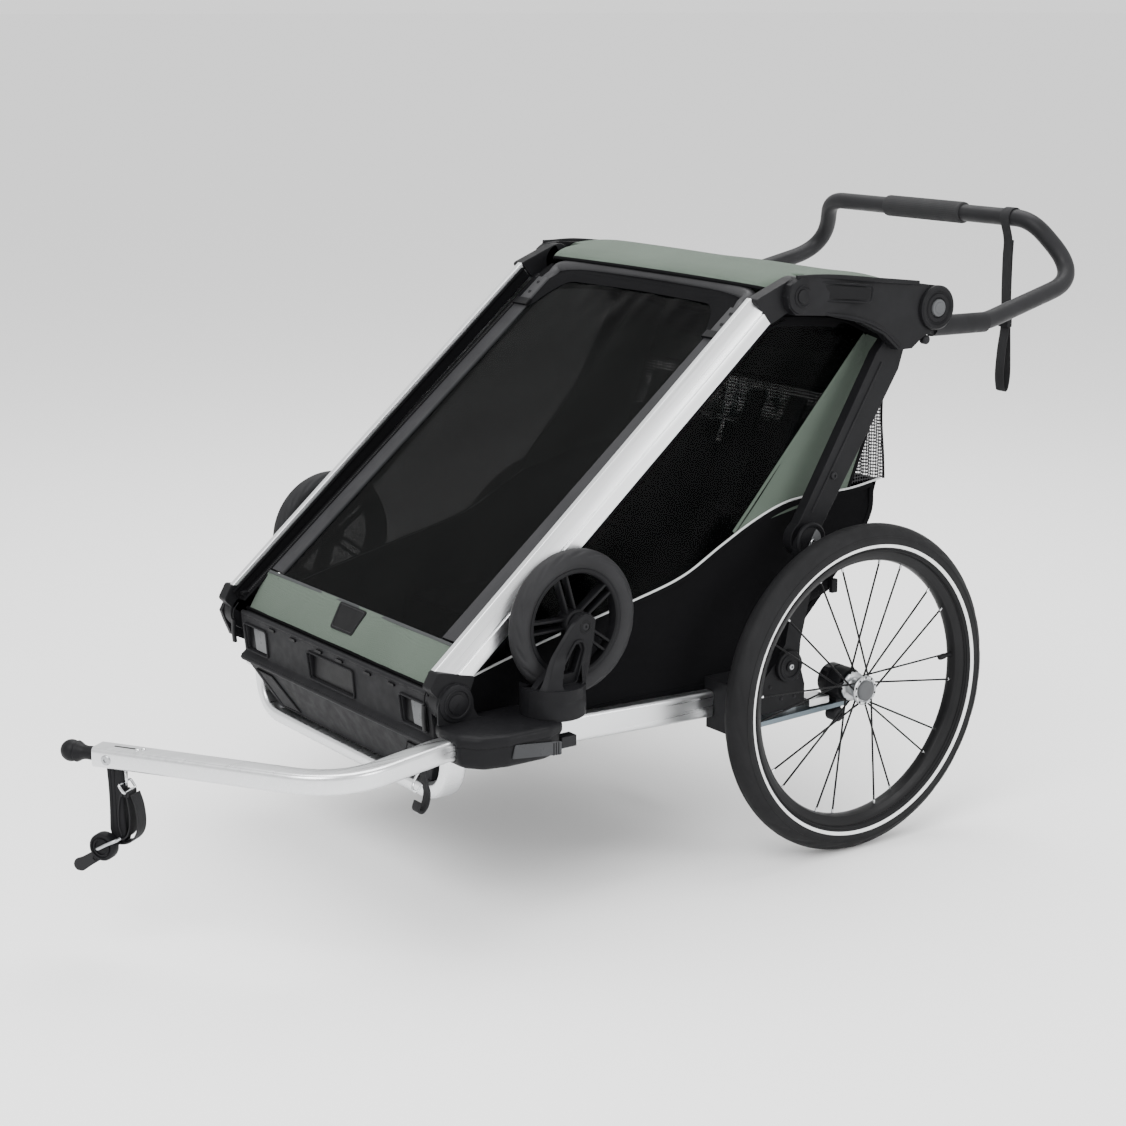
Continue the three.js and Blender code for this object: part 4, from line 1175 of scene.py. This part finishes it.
def build_stow_wheels():
    tread = tyre(STOW, 103.5, 15, 77, 540, 20, 1.3)
    pair("stow_tread", tread, "small_tyre", "SIDE_stow_wheel", ["SIDE_stow_tyre"], smooth=60)
    ring = lathe([(78.2, 9), (76.6, 10.6), (72, 10), (70, 8), (69.4, 0), (70, -8), (72, -10), (76.6, -10.6),
                  (78.2, -9)], 128, ACROSS, STOW, closed=True)
    hub = lathe([(12, -15), (17, -14), (19.5, -10), (19.5, 11.5), (17, 13.5), (8, 14)], 48, ACROSS, STOW)
    spokes = Shape()
    for i in range(5):
        turn = Matrix.Rotation(2 * pi * i / 5 + 0.3, 4, "X")
        for side in (-6.5, 6.5):
            bar = ribbon(14, 4, 1.4, [(0, side, 14), (0, side * 1.12, 72)], 3)
            spokes.add(bar.moved(Matrix.Translation(STOW) @ turn))
    pair("stow_centre", ring.add(hub, spokes), "black", "SIDE_stow_wheel", ["SIDE_stow_wheel_centre"])
    refined_pair("stow_fork", "black", "fork_moulding", bevel=2.2, steps=4)
    window = rounded([(-552, 346), (-511, 346), (-497, 393), (-501, 405), (-512, 405), (-521, 393)], 7)

    def edges(z):
        front = -585.5 + 73 * ramp((z - 330) / 104) ** 1.25
        back = -494 + 17 * min(1, (z - 306) / 110)
        if z > 424:
            close = (z - 424) / 17
            front += 16 * close ** 3
            back -= 18 * close ** 3
        return front, back

    def leg(u, v):
        z = 308 + 133 * v
        front, back = edges(z)
        y = front + (back - front) * u
        bulge = 346 + sqrt(max(0, 45.9 ** 2 - (min(-495, max(-585, y)) + 540) ** 2))
        t = eased((z - 322) / 70)
        x = bulge * (1 - t) + 361 * t
        shy = 5 * max(0, abs(u - 0.5) * 2 - 0.84) / 0.16
        return Vector((max(x, 352) + 1.2 - shy * (0.3 + 0.5 * t), y, z))

    def open_cell(u, v):
        p = leg(u, v)
        return inside((p.y, p.z), window)
    shell = cloth(leg, 60, 84, 6, skip=open_cell)
    pair("fork_leg", shell, "black", "SIDE_fork", smooth=50)
    rim = [Vector((361.4, y, z)) for y, z in window]
    pair("fork_window_rim", ribbon(7, 3.4, 1.4, rim, 3, closed=True), "black", "SIDE_fork")
    boss = lathe([(10.5, 360), (10.5, 361.6), (9.6, 362.6), (6.6, 362.8), (6.2, 361.8)], 36, ACROSS,
                 (0, STOW.y, STOW.z))
    pair("fork_boss", boss, "label", "SIDE_fork")
    pair("fork_bolt", screw((361.6, STOW.y, STOW.z), ACROSS, 5.2, 1.6), "charcoal", "SIDE_fork")


# ---------- tow arm and hitch ----------
ARM_RUN = Vector((ARM_TIP.x - ARM_CORNER[0], ARM_TIP.y - ARM_CORNER[1], 0)).normalized()
ARM_FACE = Vector((-ARM_RUN.y, ARM_RUN.x, 0))          # the arm's near side, square to its run
AT_TIP = Matrix(((ARM_RUN.x, ARM_FACE.x, 0, ARM_TIP.x), (ARM_RUN.y, ARM_FACE.y, 0, ARM_TIP.y),
                 (0, 0, 1, ARM_TIP.z), (0, 0, 0, 1)))   # x along the arm from its tip, y off its near side
# The same turn, with its origin 18 mm above the arm's underside
UNDER_TIP = Matrix.Translation((0, 0, 18 - ARM_HIGH / 2)) @ AT_TIP


def build_tow_arm():
    line = cornered([(ARM_X, -612, ARM_Z), (ARM_X, ARM_BEND_Y, ARM_Z), (*ARM_CORNER, ARM_Z), tuple(ARM_TIP)],
                    [90, 105], 26)
    tube = sweep(rectangle(ARM_WIDE, ARM_HIGH, 7.5, 6), spaced(line, 120))
    piece("arm_tube", tube, "silver", "tow_arm", ["tow_arm"])
    plug = ribbon(30, 24, 5, [(-2, 0, 0), (1.2, 0, 0)], across=(0, 1, 0))
    ball = [(9.5, 0), (9.8, 2), (9.2, 18), (10.5, 24), (12.8, 28), (14.6, 32)]
    ball += [(15 * cos(a), 42 + 15 * sin(a)) for a in np.linspace(-0.55, 1.2, 16)]
    ball += [(4.5, 56.4), (0.1, 56.4)]
    piece("coupling", lathe(ball, 56).add(plug).moved(AT_TIP), "black", "tow_arm", ["coupling_ball"])
    face_screw = screw((-22, 17.1, -1), (0, 1, 0), 7.0, 2.0).moved(AT_TIP)
    piece("arm_screw", face_screw, "steel", "tow_arm")
    slot = box(-58, -26, -1.4, 1.4, 13.7, 14.4)
    piece("arm_slot", slot.moved(AT_TIP), "label", "tow_arm")
    rivets = Shape().add(*[lathe([(3.4, 0), (3, 1.2), (1.4, 1.9), (0.1, 2)], 18, UP, (x, y, 13.9))
                           for x, y in ((-62, 3), (-68, -3))])
    piece("arm_rivets", rivets.moved(AT_TIP), "chrome", "tow_arm")


def build_hitch():
    def rubber(u, v, side):
        """The flat hanging rubber: u across its width, v down its length."""
        z = -18.6 - 101 * v
        width = 12.6 - 1.6 * arch(min(1, v * 1.2)) - 3.2 * max(0, v - 0.86) / 0.14
        x = -28 + (u - 0.5) * 2 * width - 2.0 * v * v
        groove = 1.1 * max(0, 1 - abs(abs(u - 0.62) - 0.12) / 0.045)
        edge = 1.6 * max(0, abs(u - 0.5) * 2 - 0.86) / 0.14
        y = side * (7.6 - groove - edge + 1.0 * v * v)
        return Vector((x, y, z))

    across, along = 36, 44
    faces = [[rubber(i / across, j / along, side) for i in range(across + 1) for j in range(along + 1)]
             for side in (1, -1)]
    piece("hitch_rubber", two_sided(*faces, across, along).moved(UNDER_TIP), "black", "tow_arm",
          ["hitch_flex"])

    loop = [(-54, -52), (-59.5, -68), (-62, -88), (-60, -104), (-53, -115), (-44, -121), (-30, -123.4),
            (-20, -121), (-17, -118.4), (-26, -118), (-38, -116), (-46, -108), (-50, -92), (-49.5, -72),
            (-46, -52)]
    band = ribbon(22, 2.0, 0.8, curve([(x, 0, z) for x, z in loop], 90), 3, across=(0, 1, 0))
    tail = curve([(-37.5, 0, -52), (-33.5, 0, -70), (-32, 0, -96), (-36, 0, -112)], 30)
    band.add(ribbon(20, 1.8, 0.7, tail, 3, across=(0, 1, 0)))
    folds = Shape().add(*[box(-50 + 5 * k, -47.4 + 5 * k, -10.4, 10.4, -56, -49) for k in range(3)])
    piece("safety_webbing", band.add(folds).moved(UNDER_TIP), "web_z", "tow_arm", ["hitch_strap"])
    square = rounded([(-49, -14.5), (-49, 14.5), (-34, 14.5), (-34, -14.5)], 4, 6)
    ring = wire(1.9, [Vector((-42 + (x + 41.5) * 0.55, y, -44 + (x + 41.5) * 0.75)) for x, y in square],
                closed=True)
    hook = [(-40, 0, -18), (-40.5, 1, -24), (-43, 3, -31), (-42.5, 2, -38), (-38.5, 0, -42),
            (-35.6, 0, -37), (-37.5, 0, -30)]
    snap = wire(2.1, curve(hook, 50))
    swivel = lathe([(3.6, 0), (3.6, 3.4), (2.4, 5)], 20, -UP, (-40, 0, -18.4))
    piece("hitch_ring", ring.add(snap, swivel).moved(UNDER_TIP), "chrome", "tow_arm")


def build_knob():
    centre = Vector((-12, 0, -127))
    face = [(0.1, 10), (18.6, 9), (19.2, 11), (19.2, 21.5), (17.8, 23.6), (15.2, 23.8), (14.8, 21.6),
            (12.4, 21.4), (12, 23.2), (10.6, 23.6), (10, 21.4), (0.1, 21.2)]
    disc = lathe(face, 64, (0, 1, 0), centre)
    outline = [(-2, -142), (12, -130), (20, -138), (36, -147.5), (47, -152), (51, -160), (46.5, -168),
               (36, -168.4), (22, -158), (4, -146)]
    near, far = [[Vector((x - 12, y, z)) for x, z in rounded(outline, 9, 6)] for y in (12.4, 16)]
    tab = prism(near, far)
    piece("knob_disc", disc.moved(UNDER_TIP), "black", "hitch_knob", ["hitch_knob"])
    piece("knob_tab", tab.moved(UNDER_TIP), "charcoal", "hitch_knob", bevel=1.0)
    hole = rounded([(12, -147), (17, -143.5), (19, -147), (14, -150.5)], 2)
    eye = [Vector((x - 12, 16.3, z)) for x, z in hole]
    piece("tab_eye", wire(0.9, eye, 10, closed=True).moved(UNDER_TIP), "label", "hitch_knob")
    bail = curve([(-2, 19, -131), (-8, 25, -128.5), (-14, 26.6, -125), (-22, 26, -120.5), (-32, 22, -116),
                  (-36, 14, -114)], 50)
    piece("knob_bail", wire(2.3, bail, 14).moved(UNDER_TIP), "steel", "hitch_knob")


def build_safety_strap():
    x = 347
    path = curve([(x, -751, 267), (x, -750, 248), (x, -746, 232), (x, -749, 216), (x, -757, 207),
                  (x, -764, 211), (x, -761, 222)], 60)
    band = ribbon(16, 3.0, 1.2, path, 3)
    piece("arm_strap", band, "web_z", "tow_arm", ["safety_strap"])
    clip = curve([(x, -752, 266), (x - 4, -758, 258), (x - 5, -764, 247), (x - 1, -768, 240),
                  (x + 4, -764, 238), (x + 5, -757, 246)], 40)
    piece("strap_clip", wire(1.8, clip, 10), "chrome", "tow_arm")


# ---------- soft goods ----------
PIPING = [(-648, 350), (-560, 373), (-450, 398), (-353, 419), (-262, 442), (-187, 479), (-130, 506),
          (-72, 526), (-19, 532), (62, 533), (112, 540)]
HEM = [(-645, 268), (-630, 243), (-500, 241), (-425, 267), (-260, 266), (-92, 266), (-62, 302), (92, 462),
       (112, 530)]
FOLD_AXIS = (0, -0.2385, 0.971)
FOLD_ANCHOR = (0, -0.3738, 0.333)


def crumples(*pieces):
    """Cloth between the folding frame's bars flattens onto the base as the frame folds."""
    for made in pieces:
        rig.squash(made, "frame_fold", axis=FOLD_AXIS, anchor=FOLD_ANCHOR, keep=0.06)


def ruled(start, end, across, along, thickness, push=None, flip=False):
    """Cloth between two lines, with u along them and v from the first to the second; push moves it."""
    first = curve(start, across + 1) if len(start) > 2 else spaced(start, across + 1)
    second = curve(end, across + 1) if len(end) > 2 else spaced(end, across + 1)

    def surface(u, v):
        i = round(u * across)
        point = first[i].lerp(second[i], v)
        return point + (push(u, v, point) if push else Vector())
    return cloth(surface, across, along, thickness, flip)


def area_of(outline):
    """Square metres inside an outline in millimetres."""
    turned = zip(outline, outline[1:] + outline[:1])
    return abs(sum(a[0] * b[1] - b[0] * a[1] for a, b in turned)) / 2 * MM * MM


def on_side(points, x=BODY_X):
    return [(x, y, z) for y, z in points]


def build_side_panels():
    def sag(u, v, p):
        return Vector((-7 * arch(v) * (0.4 + 0.6 * arch(u)) - 1.2 + ripple(p.x, p.y, p.z, 90, 1.6), 0, 0))
    panel = ruled(on_side(PIPING), on_side(HEM), 120, 30, 2.0, sag)
    area = area_of(PIPING + HEM[::-1])
    for made in pair("side_cloth", panel, "black_cloth", "chassis"):
        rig.sheet(made, (0.79, 0.36), "stretched", ["left_side_rail", "right_side_rail"], area=area)
    line = curve([(281.5, y, z + 1) for y, z in PIPING[:-1] + [(128, 541)]], 160)
    pair("side_piping", wire(1.7, line), "piping", "chassis")
    hem = curve([(281.6, y, z - 5) for y, z in PIPING], 120)
    pair("side_hem", ribbon(1.6, 8, 0.6, hem, 2), "black_cloth", "chassis")
    low = curve([(281.4, y, z + 3) for y, z in HEM], 120)
    pair("lower_hem", ribbon(1.8, 9, 0.7, low, 2), "black_cloth", "chassis")


def build_tub():
    profile = [(-652, 354), (-641, 268), (-628, 242), (-500, 242), (-425, 269), (-260, 268), (-94, 269),
               (-64, 303), (90, 462), (112, 500), (124, 541)]
    run = spaced(cornered(profile, 8, 3), 121)

    def surface(u, v):
        y, z = run[round(v * 120)]
        x = (u - 0.5) * 2 * (BODY_X - 3)
        dip = arch(u) ** 0.6
        low = -5 * dip if z < 275 else 0
        back = 4 * dip * arch(ramp((z - 300) / 240)) if y > -64 else 0
        return Vector((x, y + back, z + low + ripple(x, y, z, 120, 2.0)))
    tub = cloth(surface, 60, 120, 2.0, flip=True)
    made = piece("tub_cloth", tub, "black_cloth", "chassis", ["fabric_body"])
    length = sum((run[i + 1] - run[i]).length for i in range(120)) * MM
    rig.sheet(made, (0.56, round(length, 2)), "stretched", ["front_cross_tube", "rear_cross_tube"])
    rear = curve([(x, 124.6, 541) for x in (-280, 0, 280)], 60)
    piece("rear_piping", wire(1.8, rear), "piping", "chassis")


def window_top():
    along_bar = [tuple(on_pillar(a, -5)) for a in (52, 180, 320, 460, 600, 720)]
    return along_bar + [(-84, 803), (-30, 800), (35, 791), (72, 777), (90, 769)]


def build_windows():
    top = on_side(window_top(), 279.5)
    sill = [(-648, 352), (-560, 375), (-450, 400), (-353, 421), (-262, 444), (-187, 481), (-160, 494)]
    bottom = on_side(sill, 279.5)

    def creases(u, v, p):
        near_top = max(0, 1 - v * 2.6)
        near_low = max(0, v * 2.2 - 1.2)
        fan = sin(34 * u + 9 * v * u) * near_top * max(0, u - 0.6) * 5.5
        low = sin(26 * u - 7 * v) * near_low * max(0, u - 0.35) * 3.0
        dish = -6 * arch(v) * arch(u)
        return Vector((dish + fan + low + ripple(p.x, p.y, p.z, 95, 4.5) * arch(v), 0, 0))
    film = ruled(top, bottom, 150, 60, 0.8, creases)
    area = area_of(window_top() + sill[::-1])
    for side, made in zip(SIDES, pair("window_film", film, "film", "chassis", ["SIDE_side_window"])):
        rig.sheet(made, (0.72, 0.45), "stretched", [f"{side}_side_cloth"], area=area)
        crumples(made)
    edge = curve(up_pillar(279.8, -9, (46, 180, 320, 460, 600, 724)), 90)
    head = curve(on_side([(-110, 795), (-84, 800), (-30, 797), (35, 788), (90, 766)], 279.8), 60)
    tape = ribbon(2.4, 19, 0.8, edge, 2)
    tape.add(ribbon(2.4, 14, 0.8, head, 2))
    crumples(*pair("window_binding", tape, "black_cloth", "chassis"))


def build_side_strips():
    front = [(88, 769), (10, 684), (-70, 597), (-162, 496)]
    back = [(146, 747), (120, 678), (92, 606), (62, 533)]

    def tuck(u, v, p):
        return Vector((-1.5 + ripple(p.x, p.y, p.z, 80, 1.6) - 3.5 * arch(v) * arch(u), 0, 0))
    strip = ruled(on_side(front), on_side(back), 70, 36, 1.8, tuck, flip=True)
    area = area_of(front + back[::-1])
    for side, made in zip(SIDES, pair("side_strip", strip, "green", "chassis")):
        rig.sheet(made, (0.37, 0.17), "stretched", [f"{side}_side_cloth"], area=area)
        crumples(made)
    seam = curve(on_side([(y - 3, z) for y, z in front], 281.2), 60)
    crumples(*pair("strip_edge", ribbon(1.6, 5, 0.6, seam, 2), "green", "chassis"))
    rear_seam = curve(on_side(back, 281.2), 60)
    crumples(*pair("strip_rear_edge", ribbon(1.8, 6, 0.6, rear_seam, 2), "black_cloth", "chassis"))


def build_rear():
    """The wall behind the seats: green above, a net band, and the bag's outer net."""
    def wall(z):
        if z > 747:
            return 146 + (z - 747) * 6 / 91
        return 62 + (z - 533) * 84 / 214

    def band(low, high, look, name, offset, wide=278):
        def surface(u, v):
            x = (u - 0.5) * 2 * wide
            z = high + (low - high) * v
            slack = 5 * arch(u) * arch(v)
            return Vector((x, wall(z) + offset + slack + ripple(x, z, 0, 110, 2.2), z))
        made = piece(name, cloth(surface, 80, 24, 1.4), look, "chassis")
        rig.sheet(made, (2 * wide * MM, (high - low) * 1.07 * MM), "stretched",
                 ["left_side_strip", "right_side_strip"])
        crumples(made)
    band(662, 836, "green", "rear_upper_cloth", -2)
    band(548, 666, "net", "rear_inner_net", -4)
    for z, high in ((664, 10), (550, 12)):
        tape = ribbon(2.6, high, 0.8, [(x, wall(z) - 1, z) for x in range(-276, 277, 12)], 2,
                      across=UP.cross(ACROSS))
        crumples(piece(f"rear_tape_{z}", tape, "black_cloth", "chassis"))

    outer = [(146, 747), (131, 707), (128, 640), (134, 580), (137, 541)]
    run = spaced(curve([(0, y, z) for y, z in outer], 41), 41)

    def bag(u, v):
        p = run[round(v * 40)]
        x = (u - 0.5) * 2 * BAG_HALF
        belly = 2.0 * arch(u) * arch(v)
        return Vector((x, p.y + belly + ripple(x, p.z, 3, 70, 2.4), p.z))
    made = piece("bag_net", cloth(bag, 100, 40, 1.2), "net", "chassis", ["rear_mesh_bag"])
    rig.sheet(made, (0.56, 0.23), "gathered", ["tub_cloth"])
    crumples(made)
    inner_edge = [(146, 747), (120, 680), (92, 606), (64, 540)]
    side = ruled(on_side([(p.y, p.z) for p in run[::10]], 279.5), on_side(inner_edge, 279.5), 40, 24, 1.2,
                 lambda u, v, p: Vector((-3 * arch(v) + ripple(p.x, p.y, p.z, 50, 2), 0, 0)))
    area = area_of([(p.y, p.z) for p in run[::4]] + inner_edge[::-1])
    for made in pair("bag_side_net", side, "net", "chassis"):
        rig.sheet(made, (0.22, 0.075), "gathered", ["tub_cloth"], area=area)
        crumples(made)
    rim = curve([(x, 147, 750) for x in (-BAG_HALF, 0, BAG_HALF)], 60)
    crumples(piece("bag_rim", ribbon(5, 8, 1.6, rim, 3, across=(0, 1, 0)), "black_cloth", "chassis"))
    corner = curve(on_side([(y + 0.5, z) for y, z in outer], 279), 50)
    crumples(*pair("bag_corner", wire(2.0, corner, 10), "black_cloth", "chassis"))


def build_roof():
    profile = [(-101, 850), (-92, 857), (-66, 864), (0, 868), (70, 860), (146, 841)]
    run = curve([(0, y, z) for y, z in profile], 61)

    def surface(u, v):
        p = run[round(v * 60)]
        across = (u - 0.5) * 2
        corner = max(0, abs(across) - 0.9) / 0.1
        pull = 20 * corner ** 2 * max(0, 1 - v * 3)
        half = 304 if p.y > -44 else 280
        x = across * half
        crown = 2.5 * (1 - across ** 2) - 7 * corner ** 2
        sag = -3.5 * arch(v) * cos(across * pi / 2)
        return Vector((x, p.y + pull, p.z + crown + sag + ripple(x, p.y, 0, 150, 2.0) * arch(v)))
    made = piece("roof_cloth", cloth(surface, 100, 60, 2.2, flip=True), "green", "", ["roof_canopy"])
    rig.sheet(made, (0.6, 0.24), "stretched", ["left_pod", "right_pod"])
    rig.blend(made, "front_frame", "upper_frame", at((0, -88, 856)), at((0, -20, 866)))
    front = [Vector(surface(i / 80, 0)) + Vector((0, -1, -1.5)) for i in range(81)]
    piece("roof_front_edge", wire(3.0, front), "black_cloth", "front_frame")
    top = [(-70, 850), (0, 860), (70, 853), (148, 838)]
    low = [(-84, 800), (0, 794), (88, 766), (144, 745)]
    gusset = ruled(on_side(top, 276), on_side(low, 276), 30, 10, 1.6)
    for made in pair("roof_gusset", gusset, "black_cloth", "chassis"):
        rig.sheet(made, (0.235, 0.07), "stretched", ["roof_cloth"], area=area_of(top + low[::-1]))
        crumples(made)
    rear = [Vector(surface(i / 80, 1)) + Vector((0, 1, -1.5)) for i in range(81)]
    piece("roof_rear_edge", wire(2.6, rear), "black_cloth", "upper_frame")


def cover_point(x, along, above=0.0):
    height = 26.5 - (along - 64) * 10 / 680
    return Vector((x, *on_pillar(along, height + above)))


def film_top(x):
    """How far up the cover the clear film reaches, at x."""
    t = min(1, abs(x) / FILM_HALF)
    return 738 - 4 * t - 74 * max(0, (t - 0.72) / 0.28) ** 2.2


def build_cover():
    def film(u, v):
        x = (u - 0.5) * 2 * FILM_HALF
        along = 60 + v * (film_top(x) - 60)
        loose = arch(u) * arch(v)
        high = max(0, v - 0.8) * 5
        creased = 3.2 * noise.noise(Vector((x / 38, along / 70, 1.5))) * high
        return cover_point(x, along, -5.5 * loose + creased + ripple(x, along, 0, 130, 3.0) * loose)
    made = piece("cover_film", cloth(film, 90, 110, 0.9, flip=True), "film", "front_frame", ["front_cover"])
    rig.sheet(made, (0.46, 0.69), "stretched", ["band_cloth", "left_bow_leg", "right_bow_leg"])

    def top(u, v):
        x = (u - 0.5) * 2 * 272
        low = film_top(x) - 4
        dip = 6.0 * max(0, v - 0.6) / 0.4
        return cover_point(x, low + v * (766 - low), 1.0 + 1.5 * arch(v) - dip)
    made = piece("cover_head", cloth(top, 90, 12, 1.6, flip=True), "black_cloth", "front_frame")
    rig.sheet(made, (0.54, 0.1), "stretched", ["bow_tube"], area=0.022)
    tape = ribbon(19, 1.8, 0.7, [cover_point(268.5, a, 1.2) for a in range(4, 742, 12)], 3)
    pair("zip_tape", tape, "black_cloth", "front_frame")
    teeth = Shape()
    for along in np.arange(10, 736, 3.2):
        p = cover_point(268, along, 2.6)
        teeth.add(ribbon(4.6, 1.5, 0.4, [p, p + Vector((0, *(PILLAR_DIR * 1.7)))], 1))
    pair("zip_teeth", teeth, "zip", "front_frame")
    welt = wire(1.6, [cover_point(FILM_HALF, a, 1.2) for a in range(58, 664, 12)], 10)
    pair("cover_welt", welt, "label", "front_frame")
    bead = wire(2.2, up_pillar(281.2, 41, range(4, 728, 12)))
    wall = ribbon(2.4, 20, 1, up_pillar(281.8, 32, range(4, 736, 12)), 3)
    pair("cover_binding", wall.add(bead), "black_cloth", "front_frame")


def band_point(x, along, above=0.0):
    return Vector((x, *on_pillar(along, 11.5 + (along - 10) * 15 / 54 + above)))


def build_band():
    def band(u, v):
        x = (u - 0.5) * 2 * BAND_HALF
        along = 4 + 62 * v
        bow = 1.5 * arch(v) + 1.2 * arch(u)
        return band_point(x, along, bow + 1 + ripple(x, along, 2, 90, 1.4))
    made = piece("band_cloth", cloth(band, 90, 16, 2.0, flip=True), "green", "front_frame", ["front_band"])
    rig.sheet(made, (0.525, 0.065), "stretched", ["left_zip_tape", "right_zip_tape"])
    hem = ribbon(5, 3, 1, [band_point(x, 64.5, 2.8) for x in range(-260, 261, 13)], 3,
                 across=(0, 0.646, 0.763))
    piece("band_hem", hem, "seat_grey", "front_frame")
    low = wire(3.4, [band_point(x, 3, 0) for x in range(-272, 273, 12)])
    piece("band_cord", low, "black_cloth", "front_frame")
    corners = [(-38, 62), (38, 62), (31, 22), (-31, 22)]
    outline = [tuple(p) for p in rounded(corners, 5)]
    under = [band_point(x, a, 3.4) for x, a in outline]
    over = [band_point(x, a, 7.0) for x, a in outline]
    piece("band_label", prism(under, over), "label", "front_frame", bevel=0.6)
    inset = [band_point(x * 0.9, 42 + (a - 42) * 0.84, 7.1) for x, a in outline]
    piece("band_label_rim", wire(0.7, inset, 8, closed=True), "charcoal", "front_frame")
    slider = box(265, 275, -5, 5, -3, 3).moved(Matrix.Translation(cover_point(0, 14, 5)))
    pair("zip_slider", slider, "label", "front_frame", bevel=1.2)
    hang = [(274, -694, 352), (275, -702, 340), (275, -703, 324)]
    link = wire(1.1, curve(hang, 24), 10)
    pair("zip_link", link, "label", "front_frame")
    tab = ribbon(9, 5, 2, curve([(275, -703, 326), (275, -703.4, 308), (275, -702, 290)], 12), 3)
    pair("zip_pull", tab, "label", "front_frame")


def pad(surface, thickness, across=40, along=50):
    """A stuffed form: crowned both ways, thin at its edges, with sides that pull in between the corners."""
    def face(side):
        rows = []
        for i in range(across + 1):
            for j in range(along + 1):
                u, v = i / across, j / along
                full = arch(u) ** 0.45 * arch(v) ** 0.45
                centre, normal = surface(u, v)
                rows.append(centre + normal * side * (thickness / 2 * full + 1.0))
        return rows
    return two_sided(face(1), face(-1), across, along)


def seat_surface(centre_x, half, low, high):
    """Maps (u, v) over one seat's pad between two points (y, z), with pinched sides."""
    low, high = Vector(low), Vector(high)
    run = high - low
    normal = Vector((0, -run.y, run.x)).normalized()

    def surface(u, v):
        pinch = 1 - 0.045 * arch(v)
        x = centre_x + (u - 0.5) * 2 * half * pinch
        p = low.lerp(high, v)
        channel = -2.6 * max(0, 1 - abs(abs(u - 0.5) - 0.26) / 0.035)
        channel += -2.2 * max(0, 1 - abs(v - 0.52) / 0.03)
        return Vector((x, p.x, p.y)) + normal * channel, normal
    return surface


# Each pad: its name, the node it stands for, half its width, its two ends (y, z), thickness and fill
PADS = (
    ("seat_pad", "seat_base", 120, (-396, 326), (-70, 320), 40, 0.7),
    ("lower_back", "seat_back", 120, (-46, 350), (2, 476), 24, 0.6),
    ("upper_back", None, 118, (4, 482), (48, 598), 22, 0.5),
)


def build_seats():
    for side, x in zip(SIDES, (SEAT_X, -SEAT_X)):
        for name, node, half, low, high, thickness, fill in PADS:
            stuffed = pad(seat_surface(x, half, low, high), thickness)
            stands_for = [node] if node and side == "left" else []
            made = piece(f"{side}_{name}", stuffed, "seat_cloth", "chassis", stands_for)
            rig.padded(made, fill)
        crumples(made)

        def head(u, v, x=x):
            return Vector((x + (u - 0.5) * 2 * 112, 50 + 22 * v,
                           600 + 76 * v + ripple(x, u * 80, v * 90, 60, 2)))
        made = piece(f"{side}_head_net", cloth(head, 30, 16, 2.0, flip=True), "seat_net", "chassis")
        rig.sheet(made, (0.224, 0.079), "stretched", [f"{side}_upper_back"])
        crumples(made)
        for tag, inner in (("a", -46), ("b", 46)):
            sx = x + inner
            low = [(sx, -52, 372), (sx, -34, 400), (sx, -20, 440), (sx, -12, 470)]
            web = ribbon(24, 2.2, 0.8, curve(low, 24), 3)
            piece(f"{side}_harness_low_{tag}", web, "web_z", "chassis")
            high = [(sx, -12, 472), (sx, 4, 520), (sx, 22, 570), (sx, 40, 622), (sx, 58, 660)]
            shoulder = ribbon(38, 9, 3.5, curve(high, 40), 4)
            crumples(piece(f"{side}_harness_high_{tag}", shoulder, "seat_grey", "chassis"))
        straps = Shape()
        for inner in (-46, 46):
            path = curve([(x + inner, -54, 372), (x + inner * 0.8, -90, 352), (x + inner * 0.3, -140, 352)],
                         24)
            straps.add(ribbon(22, 2.2, 0.8, path, 3))
        straps.add(ribbon(26, 2.2, 0.8, curve([(x, -150, 351), (x, -210, 350), (x, -250, 344)], 16), 3))
        piece(f"{side}_lap_straps", straps, "web_z", "chassis")
        buckle = ribbon(46, 14, 5, curve([(x, -128, 357), (x, -150, 359), (x, -176, 357)], 10), 4)
        piece(f"{side}_buckle", buckle, "black", "chassis", bevel=1.0)
    bridge = ruled([(-262, -398, 318), (0, -398, 322), (262, -398, 318)],
                   [(-262, -404, 262), (0, -404, 266), (262, -404, 262)], 40, 8, 2.0)
    made = piece("seat_front_cloth", bridge, "black_cloth", "chassis")
    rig.sheet(made, (0.524, 0.056), "stretched", ["tub_cloth"])


BUILDERS = (build_rails, build_brake, build_suspension, build_docks, build_bumper, build_pillars, build_pods,
            build_links, build_handlebar, build_wrist_strap, build_main_wheels, build_stow_wheels,
            build_tow_arm, build_hitch, build_knob, build_safety_strap, build_side_panels, build_tub,
            build_windows, build_side_strips, build_rear, build_roof, build_cover, build_band, build_seats)

make_camera()
make_studio()
for build in BUILDERS:
    build()
with open(SIZE_FILE, "w") as out:
    json.dump({"cad": [list(p) for p in CAD_BOX], "visual": [list(p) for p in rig.bounds()]}, out)
